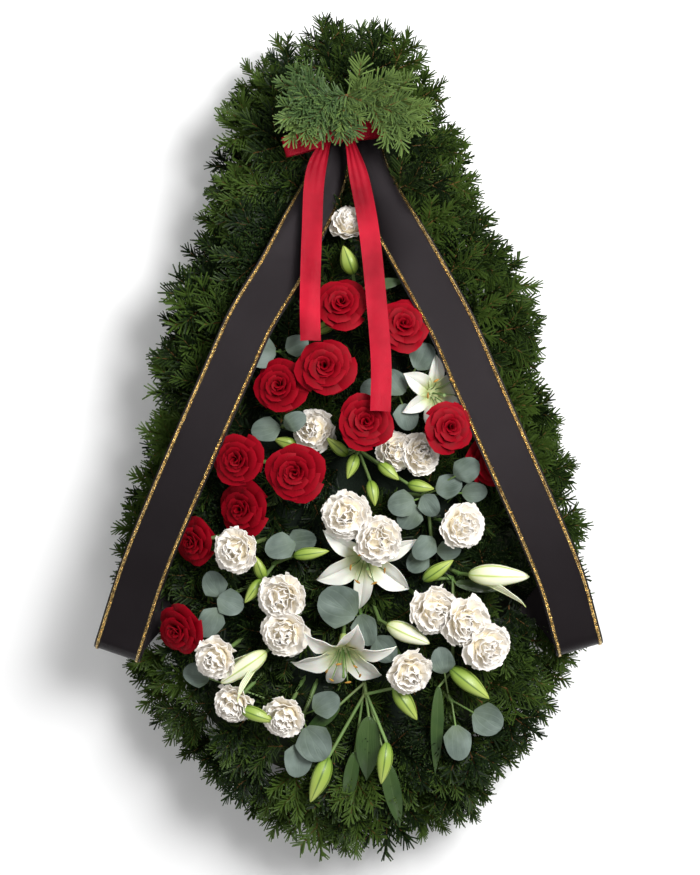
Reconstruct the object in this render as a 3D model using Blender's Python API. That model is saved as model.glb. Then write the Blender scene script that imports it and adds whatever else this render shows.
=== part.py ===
"""A teardrop funeral arrangement that lies on its flat back, its face up.

X runs to the viewer's right, Y towards the top of the arrangement and Z out of its face. The origin is
the middle of the flat back. Lengths are metres; places and sizes of flowers are written in millimetres
and turned into metres by MM.
"""

import math
import random

import bmesh
import bpy
from mathutils import Matrix, Vector
from mathutils.bvhtree import BVHTree

MM = 0.001
GAP = 0.3 * MM
UP = Vector((0, 0, 1))

# The pad's outline is two arcs and the straight lines that touch both.
PAD_LOW_Y, PAD_LOW_RADIUS = -0.200, 0.240
PAD_TOP_Y, PAD_TOP_RADIUS = 0.370, 0.080
PAD_THICKNESS = 0.045

# The foam slab lies on the pad.
FOAM_LOW_Y, FOAM_LOW_RADIUS = -0.195, 0.172
FOAM_TOP_Y, FOAM_TOP_RADIUS = 0.200, 0.052
FOAM_BASE = PAD_THICKNESS + GAP
FOAM_TOP = 0.105
HOLE_DEPTH = 0.036
STEM_RADIUS = 2.8 * MM
STEM_SIDES = 3
HOLE_RADIUS = STEM_RADIUS + 0.7 * MM

# A stem leans: its foot is drawn in from its head towards the line that the arrangement is built on.
LEAN_IN = 0.70
LEAN_Y, LEAN_MIDDLE_Y = 0.85, -0.050

# Fir: a core to each bough, built across the rim, with twigs of flat needles.
BOUGHS = 11
HALF_BOUGH_GAP = 0.0004  # share of a bough's length
CORE_PROFILE = (
    (-60, 45.3), (4, 45.3), (4, 24), (15, 26), (17, 54), (-2, 76), (-24, 106), (-60, 106),
)  # millimetres out from the pad's edge, and height
CORE_SEAT = (-10, 5)  # the profile between these is the seat on the pad's edge
CORE_UNEVEN = 7
CORE_STATIONS = 4
TOP_CORE_STATIONS = 8
NEEDLE_LENGTH, NEEDLE_FOOT = 22 * MM, 4.5 * MM
TWIG_RADIUS, TWIG_SUNK = 2.3 * MM, 10 * MM
# Twigs of a bough: how far along it, out from the pad's edge and up they root, outward, rise and length.
TWIGS = (
    (-0.38, 13, 40, 1.0, 0.00, 84), (0.06, 13, 48, 1.0, 0.06, 86), (-0.18, -20, 99, 1.0, 0.02, 90),
    (0.30, -20, 99, 1.0, 0.06, 90), (-0.42, -34, 102, 0.7, 0.12, 74), (0.08, -46, 103, 0.30, 0.22, 74),
)
LOW_TWIG = 90  # a twig rooted below this height hangs over the rim
TWIG_TRIES = 14
# Twigs of the top spray: how far below its crown they leave it, their way, rise and length.
TOP_TWIGS = (
    (2, -158, 4, 92), (9, -120, 2, 66), (16, -80, 2, 58),
    (4, -44, 4, 94), (12, -8, 8, 92), (20, 170, 14, 84),
)
SPRAY_FOOT, SPRAY_RISE, SPRAY_SUNK = (-4, 420), 66 * MM, 20 * MM

# Ribbons.
BAND_WIDTH, BAND_THICKNESS = 0.060, 1.0 * MM
BRAID_INNER, BRAID_OUTER, BRAID_RISE = 0.80, 0.94, 0.8 * MM
BAND_TURN_RADIUS = 0.019
SATIN_WIDTH, SATIN_THICKNESS = 0.025, 0.8 * MM

# Flower heads: x, y and z of the head's middle, and its radius.
ROSE_HEIGHT = 34
ROSES = (
    (-11, 163, 160, 30), (64, 137, 160, 30), (-30, 86, 176, 31), (-85, 62, 158, 31),
    (19, 19, 182, 30), (120, 12, 177, 28), (-136, -28, 174, 30), (-66, -43, 180, 32),
    (-131, -88, 148, 30), (-190, -129, 146, 27), (-209, -237, 146, 29), (171, -31, 134, 27),
)
CARNATION_HEIGHT = 30
CARNATIONS = {
    "carnation_01": ((0, 267, 140, 25),),
    "carnation_02": ((-46, 9, 146, 27),),
    "carnations_03_04": ((57, -16, 144, 26), (88, -21, 148, 27)),
    "carnations_05_06": ((-5, -95, 177, 31), (35, -126, 179, 31)),
    "carnation_07": ((139, -109, 166, 30),),
    "carnation_08": ((-141, -138, 182, 29),),
    "carnations_09_10": ((-85, -197, 170, 31), (-81, -241, 169, 31)),
    "carnation_11": ((-166, -272, 174, 27),),
    "carnations_12_13": ((-145, -330, 158, 26), (-82, -346, 160, 28)),
    "carnations_14_16": ((104, -214, 168, 31), (143, -228, 169, 33), (170, -258, 167, 32)),
    "carnation_17": ((74, -291, 166, 29),),
}
# Profiles of a head from its middle out and under: reach and lift as shares of radius and height, how far
# the petals' tips stand out and up, and which of the samples are tips.
HEAD_SAMPLES = 10
ROSE_PROFILE = (
    (0.20, 1.04, 0.03, 0.03, 0), (0.27, 0.70, 0.00, 0.00, 0), (0.50, 1.00, 0.04, 0.06, 1),
    (0.56, 0.56, 0.00, 0.00, 0), (0.76, 0.90, 0.04, 0.07, 0), (0.77, 0.63, 0.00, 0.00, 0),
    (0.95, 0.74, 0.05, 0.07, 1), (0.52, 0.04, 0.00, 0.00, 0),
)
CARNATION_PROFILE = (
    (0.22, 0.72, 0.04, 0.05, 0), (0.50, 1.00, 0.09, 0.11, 1), (0.62, 0.60, 0.00, 0.04, 0),
    (0.95, 0.70, 0.07, 0.12, 0), (0.24, -0.10, 0.00, 0.00, 0),
)

# Blades: shares of the length, and of the half width there.
PETAL_SHAPE = ((0.0, 0.24), (0.50, 1.00), (1.0, 0.10))
ROUND_SHAPE = ((0.0, 0.34), (0.30, 1.00), (0.74, 0.92), (1.0, 0.30))
LANCE_SHAPE = ((0.0, 0.35), (0.30, 1.00), (0.65, 0.80), (1.0, 0.08))
BLADE_THICKNESS = 0.8 * MM
STALK_HALF = 0.8 * MM
SIDE_STEM_RADIUS = 2.2 * MM
MOST_STALKS = 7

# Open lilies: throat's place, the way they look (across, up, out), petal length and width.
LILIES = {
    "lily_middle": ((20, -150, 142), (0.05, -0.35, 0.93), 66, 26),
    "lily_lower": ((-8, -264, 156), (0.0, -0.78, 0.62), 66, 28),
    "lily_upper": ((104, 55, 140), (0.35, -0.10, 0.93), 46, 22),
}
PETALS = 6
THROAT_DEPTH, THROAT_RADIUS, THROAT_FOOT_RADIUS = 24 * MM, 9 * MM, 4.2 * MM
# How a petal is laid where the one before it would cross something: opened up, and its length.
PETAL_TRIES = (
    (0, 1.0), (1, 1.0), (-1, 0.9), (0, 0.85), (2, 0.9), (0, 0.7), (1, 0.7), (0, 0.55), (1, 0.4),
)

# Buds: middle, compass direction of the tip, pitch, length and radius.
LARGE_BUDS = {
    "white_bud_left": ((-131, -283, 160), 214, 6, 68, 13),
    "white_bud_middle": ((72, -243, 152), -24, 4, 58, 13),
    "white_bud_right": ((184, -171, 150), -2, 2, 76, 15),
}
BUD_PROFILE = ((0.74, 0.66), (0.42, 1.0), (0.06, 0.46))
BUD_SAMPLES = 6
LILY_STEMS = {
    "lily_stem_top": {
        "hubs": ((6, 184, 130),),
        "buds": (((-2, 220, 146), 110, 12, 38, 11), ((-34, 136, 138), 205, 10, 34, 8)),
        "leaves": (((44, 191, 140), 10, 10, 52, 15),),
    },
    "lily_stem_middle": {
        "hubs": ((12, -14, 130),),
        "buds": (
            ((-16, -11, 150), 140, 20, 36, 8), ((2, -36, 156), 250, 20, 34, 8),
            ((48, -42, 150), -40, 15, 34, 8), ((28, -69, 152), -80, 20, 34, 8),
            ((88, -61, 142), -10, 10, 34, 8), ((-80, -6, 138), 165, 6, 30, 8),
        ),
        "leaves": (),
    },
    "lily_stem_left": {
        "hubs": ((-96, -158, 132),),
        "buds": (
            ((-48, -143, 158), 8, 10, 46, 8), ((-112, -161, 150), 110, 20, 34, 8),
            ((-120, -190, 152), 235, 15, 36, 8),
        ),
        "leaves": (),
    },
    "lily_stem_right": {
        "hubs": ((128, -176, 128), (128, -300, 128)),
        "buds": (((109, -164, 156), 35, 12, 46, 9), ((148, -304, 150), -38, 8, 62, 12)),
        "leaves": (((160, -186, 134), -10, 4, 60, 14), ((108, -366, 140), -92, 4, 116, 16)),
    },
    "lily_stem_bottom": {
        "hubs": ((20, -322, 128),),
        "buds": (
            ((69, -330, 142), -55, 5, 50, 11), ((-38, -424, 146), -112, 4, 60, 12),
            ((42, -402, 156), -98, 4, 52, 10),
        ),
        "leaves": (
            ((22, -388, 138), -92, 3, 84, 30), ((54, -446, 132), -78, 0, 90, 22),
            ((0, -428, 130), -100, 0, 76, 18), ((-36, -352, 136), -140, 4, 60, 18),
        ),
    },
}

# Eucalyptus: hubs of the sprig, and each leaf's middle with the diameter of the leaf.
EUCALYPTUS = {
    "eucalyptus_01": (((-88, 108, 130),), ((-112, 106, 150, 42), (-66, 114, 150, 30))),
    "eucalyptus_02": (((-84, 14, 128),), ((-104, 10, 146, 36), (-68, 20, 150, 30))),
    "eucalyptus_03": (
        ((66, 58, 130),),
        ((56, 68, 152, 36), (90, 100, 150, 36), (114, 96, 140, 34), (70, 26, 152, 34), (30, 58, 150, 34)),
    ),
    "eucalyptus_04": (
        ((96, -74, 128), (103, -144, 130)),
        (
            (64, -82, 148, 34), (74, -98, 142, 34), (98, -84, 146, 30), (122, -60, 146, 34),
            (144, -40, 150, 34), (154, -68, 144, 32), (92, -136, 156, 34), (122, -140, 152, 30),
            (84, -154, 146, 30),
        ),
    ),
    "eucalyptus_05": (((-74, -131, 128),), ((-86, -134, 152, 38), (-60, -128, 156, 36))),
    "eucalyptus_06": (
        ((-160, -202, 130),),
        ((-168, -182, 150, 34), (-148, -204, 156, 34), (-172, -228, 158, 40)),
    ),
    "eucalyptus_07": (
        ((14, -226, 128),),
        ((-14, -208, 154, 52), (18, -238, 150, 40), (42, -262, 148, 36)),
    ),
    "eucalyptus_08": (
        ((-60, -352, 128),),
        ((-44, -378, 152, 46), (-64, -400, 146, 42), (-30, -330, 150, 36), (-190, -294, 140, 34)),
    ),
    "eucalyptus_09": (
        ((128, -330, 128),),
        ((134, -378, 146, 44), (170, -350, 148, 40), (114, -276, 146, 34)),
    ),
}

# The bands' middle lines on the face of the arrangement, from the bow down.
LEFT_BAND = (
    (-21, 388, 107), (-22, 352, 108), (-34, 312, 120), (-56, 266, 138), (-84, 209, 152), (-121, 147, 160),
    (-146, 91, 167), (-174, 27, 171), (-197, -26, 172), (-250, -152, 166), (-284, -252, 150),
)
RIGHT_BAND = (
    (21, 388, 107), (22, 350, 108), (38, 303, 120), (61, 258, 138), (89, 207, 152), (128, 133, 160),
    (156, 67, 167), (180, 12, 171), (201, -36, 172), (234, -111, 169), (262, -180, 160), (281, -246, 148),
)
BAND_ARCH = (1.5, 1.4, 0.9, 0.45, 0.12)
BAND_RETURN, BAND_RETURN_TURN = 0.074, math.radians(28)
BAND_END_HEIGHT = (CORE_PROFILE[-1][1] + 0.3) * MM + BRAID_RISE

# The bow.
KNOT = (-16, 378, 136)
KNOT_HALF = (11, 13, 8.5)
LOOP_HALF_HEIGHT = 7.5
LOOP_LINE = ((0.02, 0.2), (0.5, 1.0), (0.93, 0.8), (1.0, 0.0), (0.9, -0.7), (0.5, -0.8), (0.02, -0.2))
LEFT_TAIL = (
    (-28, 372, 140), (-43, 325, 149), (-47, 250, 162), (-49, 170, 178), (-48, 118, 192),
)
RIGHT_TAIL = (
    (-2, 374, 140), (12, 318, 150), (24, 250, 168), (33, 160, 180), (38, 90, 194), (37, 32, 206),
)
LEFT_LOOP, RIGHT_LOOP = (-66, -18, 2), (58, 8, 4)


def material(name, colour, roughness, metallic=0.0):
    """A plain finish for one kind of piece."""
    made = bpy.data.materials.new(name)
    made.use_nodes = True
    shader = made.node_tree.nodes["Principled BSDF"]
    shader.inputs["Base Color"].default_value = (*colour, 1.0)
    shader.inputs["Roughness"].default_value = roughness
    shader.inputs["Metallic"].default_value = metallic
    return made


def skin(bm, first, second):
    """Triangles between two rings that start side by side; each may be a tip, or have its own count."""
    i = j = 0
    while i < len(first) or j < len(second):
        behind = (i + 1) * len(second) <= (j + 1) * len(first)
        take_first = j >= len(second) or (i < len(first) and behind)
        if take_first and len(first) > 1:
            bm.faces.new((first[i], first[(i + 1) % len(first)], second[j % len(second)]))
        elif not take_first and len(second) > 1:
            bm.faces.new((first[i % len(first)], second[(j + 1) % len(second)], second[j]))
        if take_first:
            i += 1
        else:
            j += 1


def loft(rings):
    """A closed solid through rings of points, with flat ends."""
    bm = bmesh.new()
    previous = None
    for ring in rings:
        verts = [bm.verts.new(point) for point in ring]
        if previous:
            skin(bm, previous, verts)
        elif len(verts) > 1:
            bm.faces.new(verts)
        previous = verts
    if len(previous) > 1:
        bm.faces.new(previous)
    bm.normal_update()
    bmesh.ops.triangulate(bm, faces=bm.faces, ngon_method="EAR_CLIP")
    bmesh.ops.recalc_face_normals(bm, faces=bm.faces)
    return bm


def sheet(sections, top):
    """A closed thin sheet through rows of points, the first of them its upper side, split alike below."""
    bm = bmesh.new()
    rows = [[bm.verts.new(point) for point in section] for section in sections]
    count = len(rows[0])
    for low, high in zip(rows, rows[1:]):
        for i in range(count):
            j = (i + 1) % count
            if i < top:
                bm.faces.new((low[i], low[j], high[j]))
                bm.faces.new((low[i], high[j], high[i]))
            else:
                bm.faces.new((low[i], low[j], high[i]))
                bm.faces.new((low[j], high[j], high[i]))
    bm.faces.new(rows[0])
    bm.faces.new(rows[-1])
    bm.normal_update()
    bmesh.ops.triangulate(bm, faces=bm.faces, ngon_method="EAR_CLIP")
    bmesh.ops.recalc_face_normals(bm, faces=bm.faces)
    return bm


def circle(centre, across, upwards, radius, sides, turn=0.0):
    """Points round a centre, in the plane of two directions."""
    angles = [turn + 2 * math.pi * i / sides for i in range(sides)]
    return [centre + radius * (math.cos(a) * across + math.sin(a) * upwards) for a in angles]


def axes_round(direction):
    """Two directions square to this one."""
    turned = direction.to_track_quat("Z", "Y")
    return turned @ Vector((1, 0, 0)), turned @ Vector((0, 1, 0))


def tube(points, radius):
    """A slim three-sided stem along points."""
    rings = []
    for i, point in enumerate(points):
        ahead = points[min(i + 1, len(points) - 1)] - points[max(i - 1, 0)]
        across, upwards = axes_round(ahead.normalized())
        rings.append(circle(point, across, upwards, radius, 3))
    return loft(rings)


def add(name, bm, finish):
    """Make a mesh an object of the model, with its place in its mesh."""
    mesh = bpy.data.meshes.new(name)
    bm.to_mesh(mesh)
    bm.free()
    mesh.materials.append(finish)
    made = bpy.data.objects.new(name, mesh)
    bpy.context.scene.collection.objects.link(made)
    return made


def boolean(target, others, operation):
    """Join or cut with a collection of solids, which are then removed."""
    helpers = bpy.data.collections.new("helpers")
    bpy.context.scene.collection.children.link(helpers)
    for other in others:
        helpers.objects.link(other)
    step = target.modifiers.new("join", "BOOLEAN")
    step.operation = operation
    step.operand_type = "COLLECTION"
    step.collection = helpers
    step.solver = "MANIFOLD"
    bpy.context.view_layer.objects.active = target
    bpy.ops.object.modifier_apply(modifier=step.name)
    for other in others:
        bpy.data.objects.remove(other)
    bpy.data.collections.remove(helpers)


def fuse(name, solids, finish):
    """One node from solids that run into each other."""
    made = add(name, solids[0], finish)
    if len(solids) > 1:
        others = [add(f"{name}_{i}", solid, finish) for i, solid in enumerate(solids[1:])]
        boolean(made, others, "UNION")
    return made


def surface(made):
    """The object's surface, for tests of what would cross it."""
    bm = bmesh.new()
    bm.from_mesh(made.data)
    tree = BVHTree.FromBMesh(bm)
    bm.free()
    return tree


def crosses(solids, taken):
    """Whether any of these solids meets what is already there."""
    for solid in solids:
        tree = BVHTree.FromBMesh(solid)
        if any(tree.overlap(other) for other in taken.values()):
            return True
    return False


def first_clear(tries, taken, label):
    """The first of several shapes of a piece that crosses nothing; the last where all do."""
    kept = None
    for solids in tries:
        if kept:
            for solid in kept:
                solid.free()
        kept = solids
        if not crosses(kept, taken):
            return kept
    print("still crosses:", label)
    return kept


def teardrop(low_y, low_radius, top_y, top_radius, steps=24):
    """The outline round two circles on the middle line, from the top round by the right."""
    lean = math.asin((low_radius - top_radius) / (top_y - low_y))
    angles = [math.pi / 2 + (lean - math.pi / 2) * i / (steps // 3) for i in range(steps // 3 + 1)]
    right = [Vector((top_radius * math.cos(a), top_y + top_radius * math.sin(a))) for a in angles]
    angles = [lean + (-math.pi / 2 - lean) * i / steps for i in range(steps + 1)]
    right += [Vector((low_radius * math.cos(a), low_y + low_radius * math.sin(a))) for a in angles]
    left = [Vector((-point.x, point.y)) for point in reversed(right[1:-1])]
    return right + left


def slab(outline, low, high):
    """A flat-sided slab with this outline."""
    return loft([[Vector((p.x, p.y, z)) for p in outline] for z in (low, high)])


def walk(outline, share):
    """The point of a closed outline at a share of its length, and the way out of it there."""
    total = sum((outline[i] - outline[i - 1]).length for i in range(len(outline)))
    left_over = (share % 1.0) * total
    for i, start in enumerate(outline):
        end = outline[(i + 1) % len(outline)]
        step = end - start
        if left_over <= step.length:
            share_of_step = left_over / step.length
            before = end - outline[i - 1]
            after = outline[(i + 2) % len(outline)] - start
            way = before.normalized().lerp(after.normalized(), share_of_step)
            return start + step * share_of_step, Vector((-way.y, way.x)).normalized()
        left_over -= step.length
    return outline[0], Vector((0, 1))


def foot_of(head):
    """Where the stem of a head goes into the foam."""
    return Vector((head.x * LEAN_IN, LEAN_MIDDLE_Y + (head.y - LEAN_MIDDLE_Y) * LEAN_Y, FOAM_TOP))


def stem_rings(head, foot, turn=0.0):
    """Rings of a straight stem from below a head to the foot of its hole."""
    way = (head - foot).normalized()
    across, upwards = axes_round(way)
    end = foot - way * (HOLE_DEPTH - GAP)
    return [circle(point, across, upwards, STEM_RADIUS, STEM_SIDES, turn) for point in (head, end)]


def hole_cutter(head, foot, turn=0.0):
    """The plain hole that a stem stands in."""
    way = (head - foot).normalized()
    across, upwards = axes_round(way)
    ends = (foot + way * 0.02, foot - way * HOLE_DEPTH)
    return loft([circle(end, across, upwards, HOLE_RADIUS, STEM_SIDES, turn) for end in ends])


def flower_head(place, profile, height, draw):
    """A head of folded rings of petals on its stem, with the hole for the stem."""
    middle = Vector(place[:3]) * MM
    radius, height = place[3] * MM, height * MM
    foot = foot_of(middle)
    way = (middle - foot).normalized()
    across, upwards = axes_round(way)
    seat = middle - way * height * 0.5
    turn = draw.uniform(0, 2 * math.pi)
    rings = [[seat + way * height * 0.96]]
    for reach, lift, flare, rise, phase in profile:
        ring = []
        for i in range(HEAD_SAMPLES):
            side = 1 if (i + phase) % 2 == 0 else -1
            angle = turn + 2 * math.pi * i / HEAD_SAMPLES
            uneven = draw.uniform(-0.25, 0.25) if flare else 0.0
            out = radius * (reach + flare * (side + uneven))
            ring.append(
                seat
                + way * height * (lift + rise * (side + uneven))
                + out * (math.cos(angle) * across + math.sin(angle) * upwards)
            )
        rings.append(ring)
    neck = seat + way * height * (profile[-1][1] - 0.5)
    rings += stem_rings(neck, foot, turn)
    return loft(rings), hole_cutter(neck, foot, turn)


def blade(base, along, face, length, width, shape, curl=0.0, cup=None, stalk=None):
    """A closed thin blade, bent along its length and, with cup, raised or sunk along its rib.

    A stalk runs to its base from this point.
    """
    side = along.cross(face).normalized()
    face = side.cross(along).normalized()
    sections = []
    if stalk is not None:
        reach, up = side * STALK_HALF, face * STALK_HALF
        top = [stalk - reach + up, stalk + reach + up]
        if cup is not None:
            top.insert(1, stalk + up)
        sections.append(top + [point - 2 * up for point in reversed(top)])
    for share, half in shape:
        angle = curl * share
        if abs(curl) < 0.01:
            middle, normal = base + along * length * share, face
        else:
            ahead, rise = math.sin(angle) / curl, (1 - math.cos(angle)) / curl
            middle = base + length * (ahead * along + rise * face)
            normal = face * math.cos(angle) - along * math.sin(angle)
        reach = side * half * width / 2
        top = [middle - reach, middle + reach]
        if cup is not None:
            top.insert(1, middle + normal * cup * half * width / 2)
        sections.append(top + [point - normal * BLADE_THICKNESS for point in reversed(top)])
    return sheet(sections, len(sections[0]) // 2)


def compass(azimuth, pitch):
    """A direction from its angle on the face, from +X towards +Y, and its rise, in degrees."""
    turn, rise = math.radians(azimuth), math.radians(pitch)
    return Vector((math.cos(turn) * math.cos(rise), math.sin(turn) * math.cos(rise), math.sin(rise)))


def bud(middle, azimuth, pitch, length, radius, hub=None):
    """A ribbed spindle, with a stalk from its hub."""
    way = compass(azimuth, pitch)
    across, upwards = axes_round(way)
    base = middle - way * length / 2
    rings = [[base + way * length]]
    for share, width in BUD_PROFILE:
        ring = []
        for i in range(BUD_SAMPLES):
            angle = 2 * math.pi * i / BUD_SAMPLES
            out = radius * width * (1.0 if i % 2 == 0 else 0.84)
            round_it = math.cos(angle) * across + math.sin(angle) * upwards
            ring.append(base + way * length * share + out * round_it)
        rings.append(ring)
    if hub is not None:
        steps = (base - hub).normalized()
        across, upwards = axes_round((way + steps).normalized())
        rings.append(circle(base - way * 2 * MM, across, upwards, SIDE_STEM_RADIUS, 3))
        rings.append(circle(hub, *axes_round(steps), SIDE_STEM_RADIUS, 3))
    return loft(rings)


def lifted(lift):
    return Vector((0, 0, lift * MM))


LIFTS = (0, 4, -4, 8, -8, 12, -12, 16, -16, 20, 26, 32)


def build_pad(finishes):
    outline = teardrop(PAD_LOW_Y, PAD_LOW_RADIUS, PAD_TOP_Y, PAD_TOP_RADIUS, 18)
    add("base_pad", slab(outline, 0.0, PAD_THICKNESS), finishes["pad"])


def build_foam(finishes, cutters):
    outline = teardrop(FOAM_LOW_Y, FOAM_LOW_RADIUS, FOAM_TOP_Y, FOAM_TOP_RADIUS, 12)
    foam = add("floral_foam", slab(outline, FOAM_BASE, FOAM_TOP), finishes["foam"])
    holes = [add(f"hole_{i}", cutter, finishes["foam"]) for i, cutter in enumerate(cutters)]
    boolean(foam, holes, "DIFFERENCE")


def build_heads(finishes, taken, cutters):
    draw = random.Random(12)
    for i, place in enumerate(ROSES):
        head, hole = flower_head(place, ROSE_PROFILE, ROSE_HEIGHT, draw)
        cutters.append(hole)
        name = f"rose_{i + 1:02d}"
        taken[name] = surface(add(name, head, finishes["rose"]))
    for name, places in CARNATIONS.items():
        solids = []
        for place in places:
            head, hole = flower_head(place, CARNATION_PROFILE, CARNATION_HEIGHT, draw)
            cutters.append(hole)
            solids.append(head)
        if name == "carnations_12_13":
            low, high = (Vector(place[:3]) * MM for place in places)
            between = (low + high) / 2 + Vector((0, -4, 2)) * MM
            solids.append(bud(between, -20, 2, 46 * MM, 9 * MM))
        taken[name] = surface(fuse(name, solids, finishes["carnation"]))


def strip(points, sides, width, thickness, samples, arches=None, braid=False):
    """A ribbon along points: samples are its points across, -1 to 1, and arches how far it is rolled."""
    sections = []
    for i, point in enumerate(points):
        ahead = (points[min(i + 1, len(points) - 1)] - points[max(i - 1, 0)]).normalized()
        side = (sides[i] - ahead * sides[i].dot(ahead)).normalized()
        normal = side.cross(ahead).normalized()
        arch = arches[i] if arches and i < len(arches) else 0.0

        def across(share, raised, side=side, normal=normal, arch=arch, point=point):
            if arch < 0.02:
                return point + side * share * width / 2 + normal * raised
            angle = arch * share
            ring = width / 2 / arch
            rise = ring * (math.cos(angle) - math.cos(arch))
            middle = point + side * ring * math.sin(angle) + normal * rise
            return middle + (side * math.sin(angle) + normal * math.cos(angle)) * raised

        top = []
        for share in samples:
            top.append(across(share, 0.0))
            if braid and abs(share) == samples[-2]:
                inner = [across(math.copysign(BRAID_INNER, share), BRAID_RISE)]
                outer = [across(math.copysign(BRAID_OUTER, share), BRAID_RISE)]
                top = top[:-1] + outer + inner + top[-1:] if share < 0 else top + inner + outer
        bottom = [across(share, -thickness) for share in reversed(samples)]
        sections.append(top + bottom)
    return sheet(sections, len(top))


def build_band(name, line, inward, finishes, taken):
    """A ribbon band: rolled under the bow, flat down the side, its end turned under to the bough."""
    points = [Vector(point) * MM for point in line]
    end = points[-1]
    plan = end - points[-2]
    plan = Vector((plan.x, plan.y, 0)).normalized()
    sides = []
    for i in range(len(points)):
        step = points[min(i + 1, len(points) - 1)] - points[max(i - 1, 0)]
        sides.append(Vector((step.y, -step.x, 0)).normalized())
    for i in range(1, 5):
        angle = math.pi * i / 4
        rise = BAND_TURN_RADIUS * (1 - math.cos(angle))
        points.append(end + plan * BAND_TURN_RADIUS * math.sin(angle) - UP * rise)
        sides.append(sides[len(line) - 1])
    for share in (0.5, 1.0):
        turned = Matrix.Rotation(inward * BAND_RETURN_TURN * (0.5 + 0.5 * share), 3, "Z")
        place = points[len(line) + 3] - (turned @ plan) * BAND_RETURN * share
        place.z += (BAND_END_HEIGHT - place.z) * share
        points.append(place)
        sides.append(turned @ sides[len(line) - 1])
    samples = (-1.0, -0.76, 0.0, 0.76, 1.0)
    band = strip(points, sides, BAND_WIDTH, BAND_THICKNESS, samples, BAND_ARCH, braid=True)
    taken[name] = surface(add(name, band, finishes["ribbon"]))


def build_bow(finishes, taken):
    """A knot with two loops and two tails, in one piece."""
    knot = Vector(KNOT) * MM
    lateral = Vector((1, 0, 0))
    shares = ((-1.0, 0.6), (-0.4, 1.0), (0.4, 1.0), (1.0, 0.6))
    rings = []
    for along, size in shares:
        middle = knot + lateral * along * KNOT_HALF[0] * MM
        ring = circle(Vector((0, 0, 0)), Vector((0, 1, 0)), UP, size * MM, 6)
        rings.append([middle + Vector((0, p.y * KNOT_HALF[1], p.z * KNOT_HALF[2])) for p in ring])
    solids = [loft(rings)]
    for reach, drop, lean in (LEFT_LOOP, RIGHT_LOOP):
        out = Vector((reach, drop, lean)) * MM
        points = [knot + out * share + UP * high * LOOP_HALF_HEIGHT * MM for share, high in LOOP_LINE]
        sides = [Vector((-out.y, out.x, 0)).normalized()] * len(points)
        solids.append(strip(points, sides, SATIN_WIDTH, SATIN_THICKNESS, (-1.0, 1.0)))
    for tail in (LEFT_TAIL, RIGHT_TAIL):
        points = [Vector(point) * MM for point in tail]
        sides = [lateral] * len(points)
        solids.append(strip(points, sides, SATIN_WIDTH, SATIN_THICKNESS, (-1.0, 1.0)))
    taken["satin_bow"] = surface(fuse("satin_bow", solids, finishes["satin"]))


def open_lily(place, look, length, width, taken, name):
    """Six curved petals round a throat, on a stem."""
    throat = Vector(place) * MM
    facing = Vector(look).normalized()
    across, upwards = axes_round(facing)
    base = throat - facing * THROAT_DEPTH
    foot = foot_of(base)
    neck = base - (base - foot).normalized() * 4 * MM
    cone = [circle(throat, across, upwards, THROAT_RADIUS, PETALS)]
    cone.append(circle(base, across, upwards, THROAT_FOOT_RADIUS, PETALS))
    solids = [loft(cone + stem_rings(neck, foot))]
    for i in range(PETALS):
        angle = 2 * math.pi * (i + 0.25) / PETALS
        out = math.cos(angle) * across + math.sin(angle) * upwards
        root = throat - facing * 4 * MM + out * 6.5 * MM
        broad = width * (1.0 if i % 2 else 0.8) * MM
        tries = []
        for opened, size in PETAL_TRIES:
            along = (facing * (0.75 + 0.3 * opened) + out).normalized()
            curl = -0.9 + 0.25 * opened
            reach = length * MM * size
            tries.append([blade(root, along, facing, reach, broad, PETAL_SHAPE, curl, -0.25)])
        solids += first_clear(tries, taken, f"{name} petal {i}")
    return solids, hole_cutter(neck, foot)


def build_lilies(finishes, taken, cutters):
    for name, (place, look, length, width) in LILIES.items():
        solids, hole = open_lily(place, look, length, width, taken, name)
        cutters.append(hole)
        taken[name] = surface(fuse(name, solids, finishes["lily"]))


def build_large_buds(finishes, taken, cutters):
    for name, (place, azimuth, pitch, length, radius) in LARGE_BUDS.items():
        middle = Vector(place) * MM
        way = compass(azimuth, pitch)
        hub = middle - way * (length / 2 + 10) * MM - UP * 14 * MM
        foot = foot_of(hub)
        solids = [bud(middle, azimuth, pitch, length * MM, radius * MM, hub), loft(stem_rings(hub, foot))]
        if crosses(solids, taken):
            print("still crosses:", name)
        cutters.append(hole_cutter(hub, foot))
        taken[name] = surface(fuse(name, solids, finishes["white_bud"]))


def hub_stems(hubs, taken, cutters, name):
    """The main stem of a sprig or lily stem, from its hole to its hub, and on to a second hub."""
    places = [Vector(hub) * MM for hub in hubs]
    foot = foot_of(places[0])
    solids = [loft(stem_rings(places[0], foot))]
    cutters.append(hole_cutter(places[0], foot))
    for start, end in zip(places, places[1:]):
        middle = (start + end) / 2
        tries = ([tube([start, middle + lifted(lift), end], SIDE_STEM_RADIUS)] for lift in LIFTS)
        solids += first_clear(tries, taken, f"{name} stem")
    if crosses(solids[:1], taken):
        print("still crosses:", name, "main stem")
    return places, solids


def stalk_start(hubs, point, number):
    """Where the stalk of a leaf or bud leaves the stem: each a little below the last."""
    hub = min(hubs, key=lambda place: (place - point).length)
    down_stem = foot_of(hub) if hub is hubs[0] else hubs[0]
    return hub + (down_stem - hub).normalized() * (2 + 2.6 * number) * MM


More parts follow.
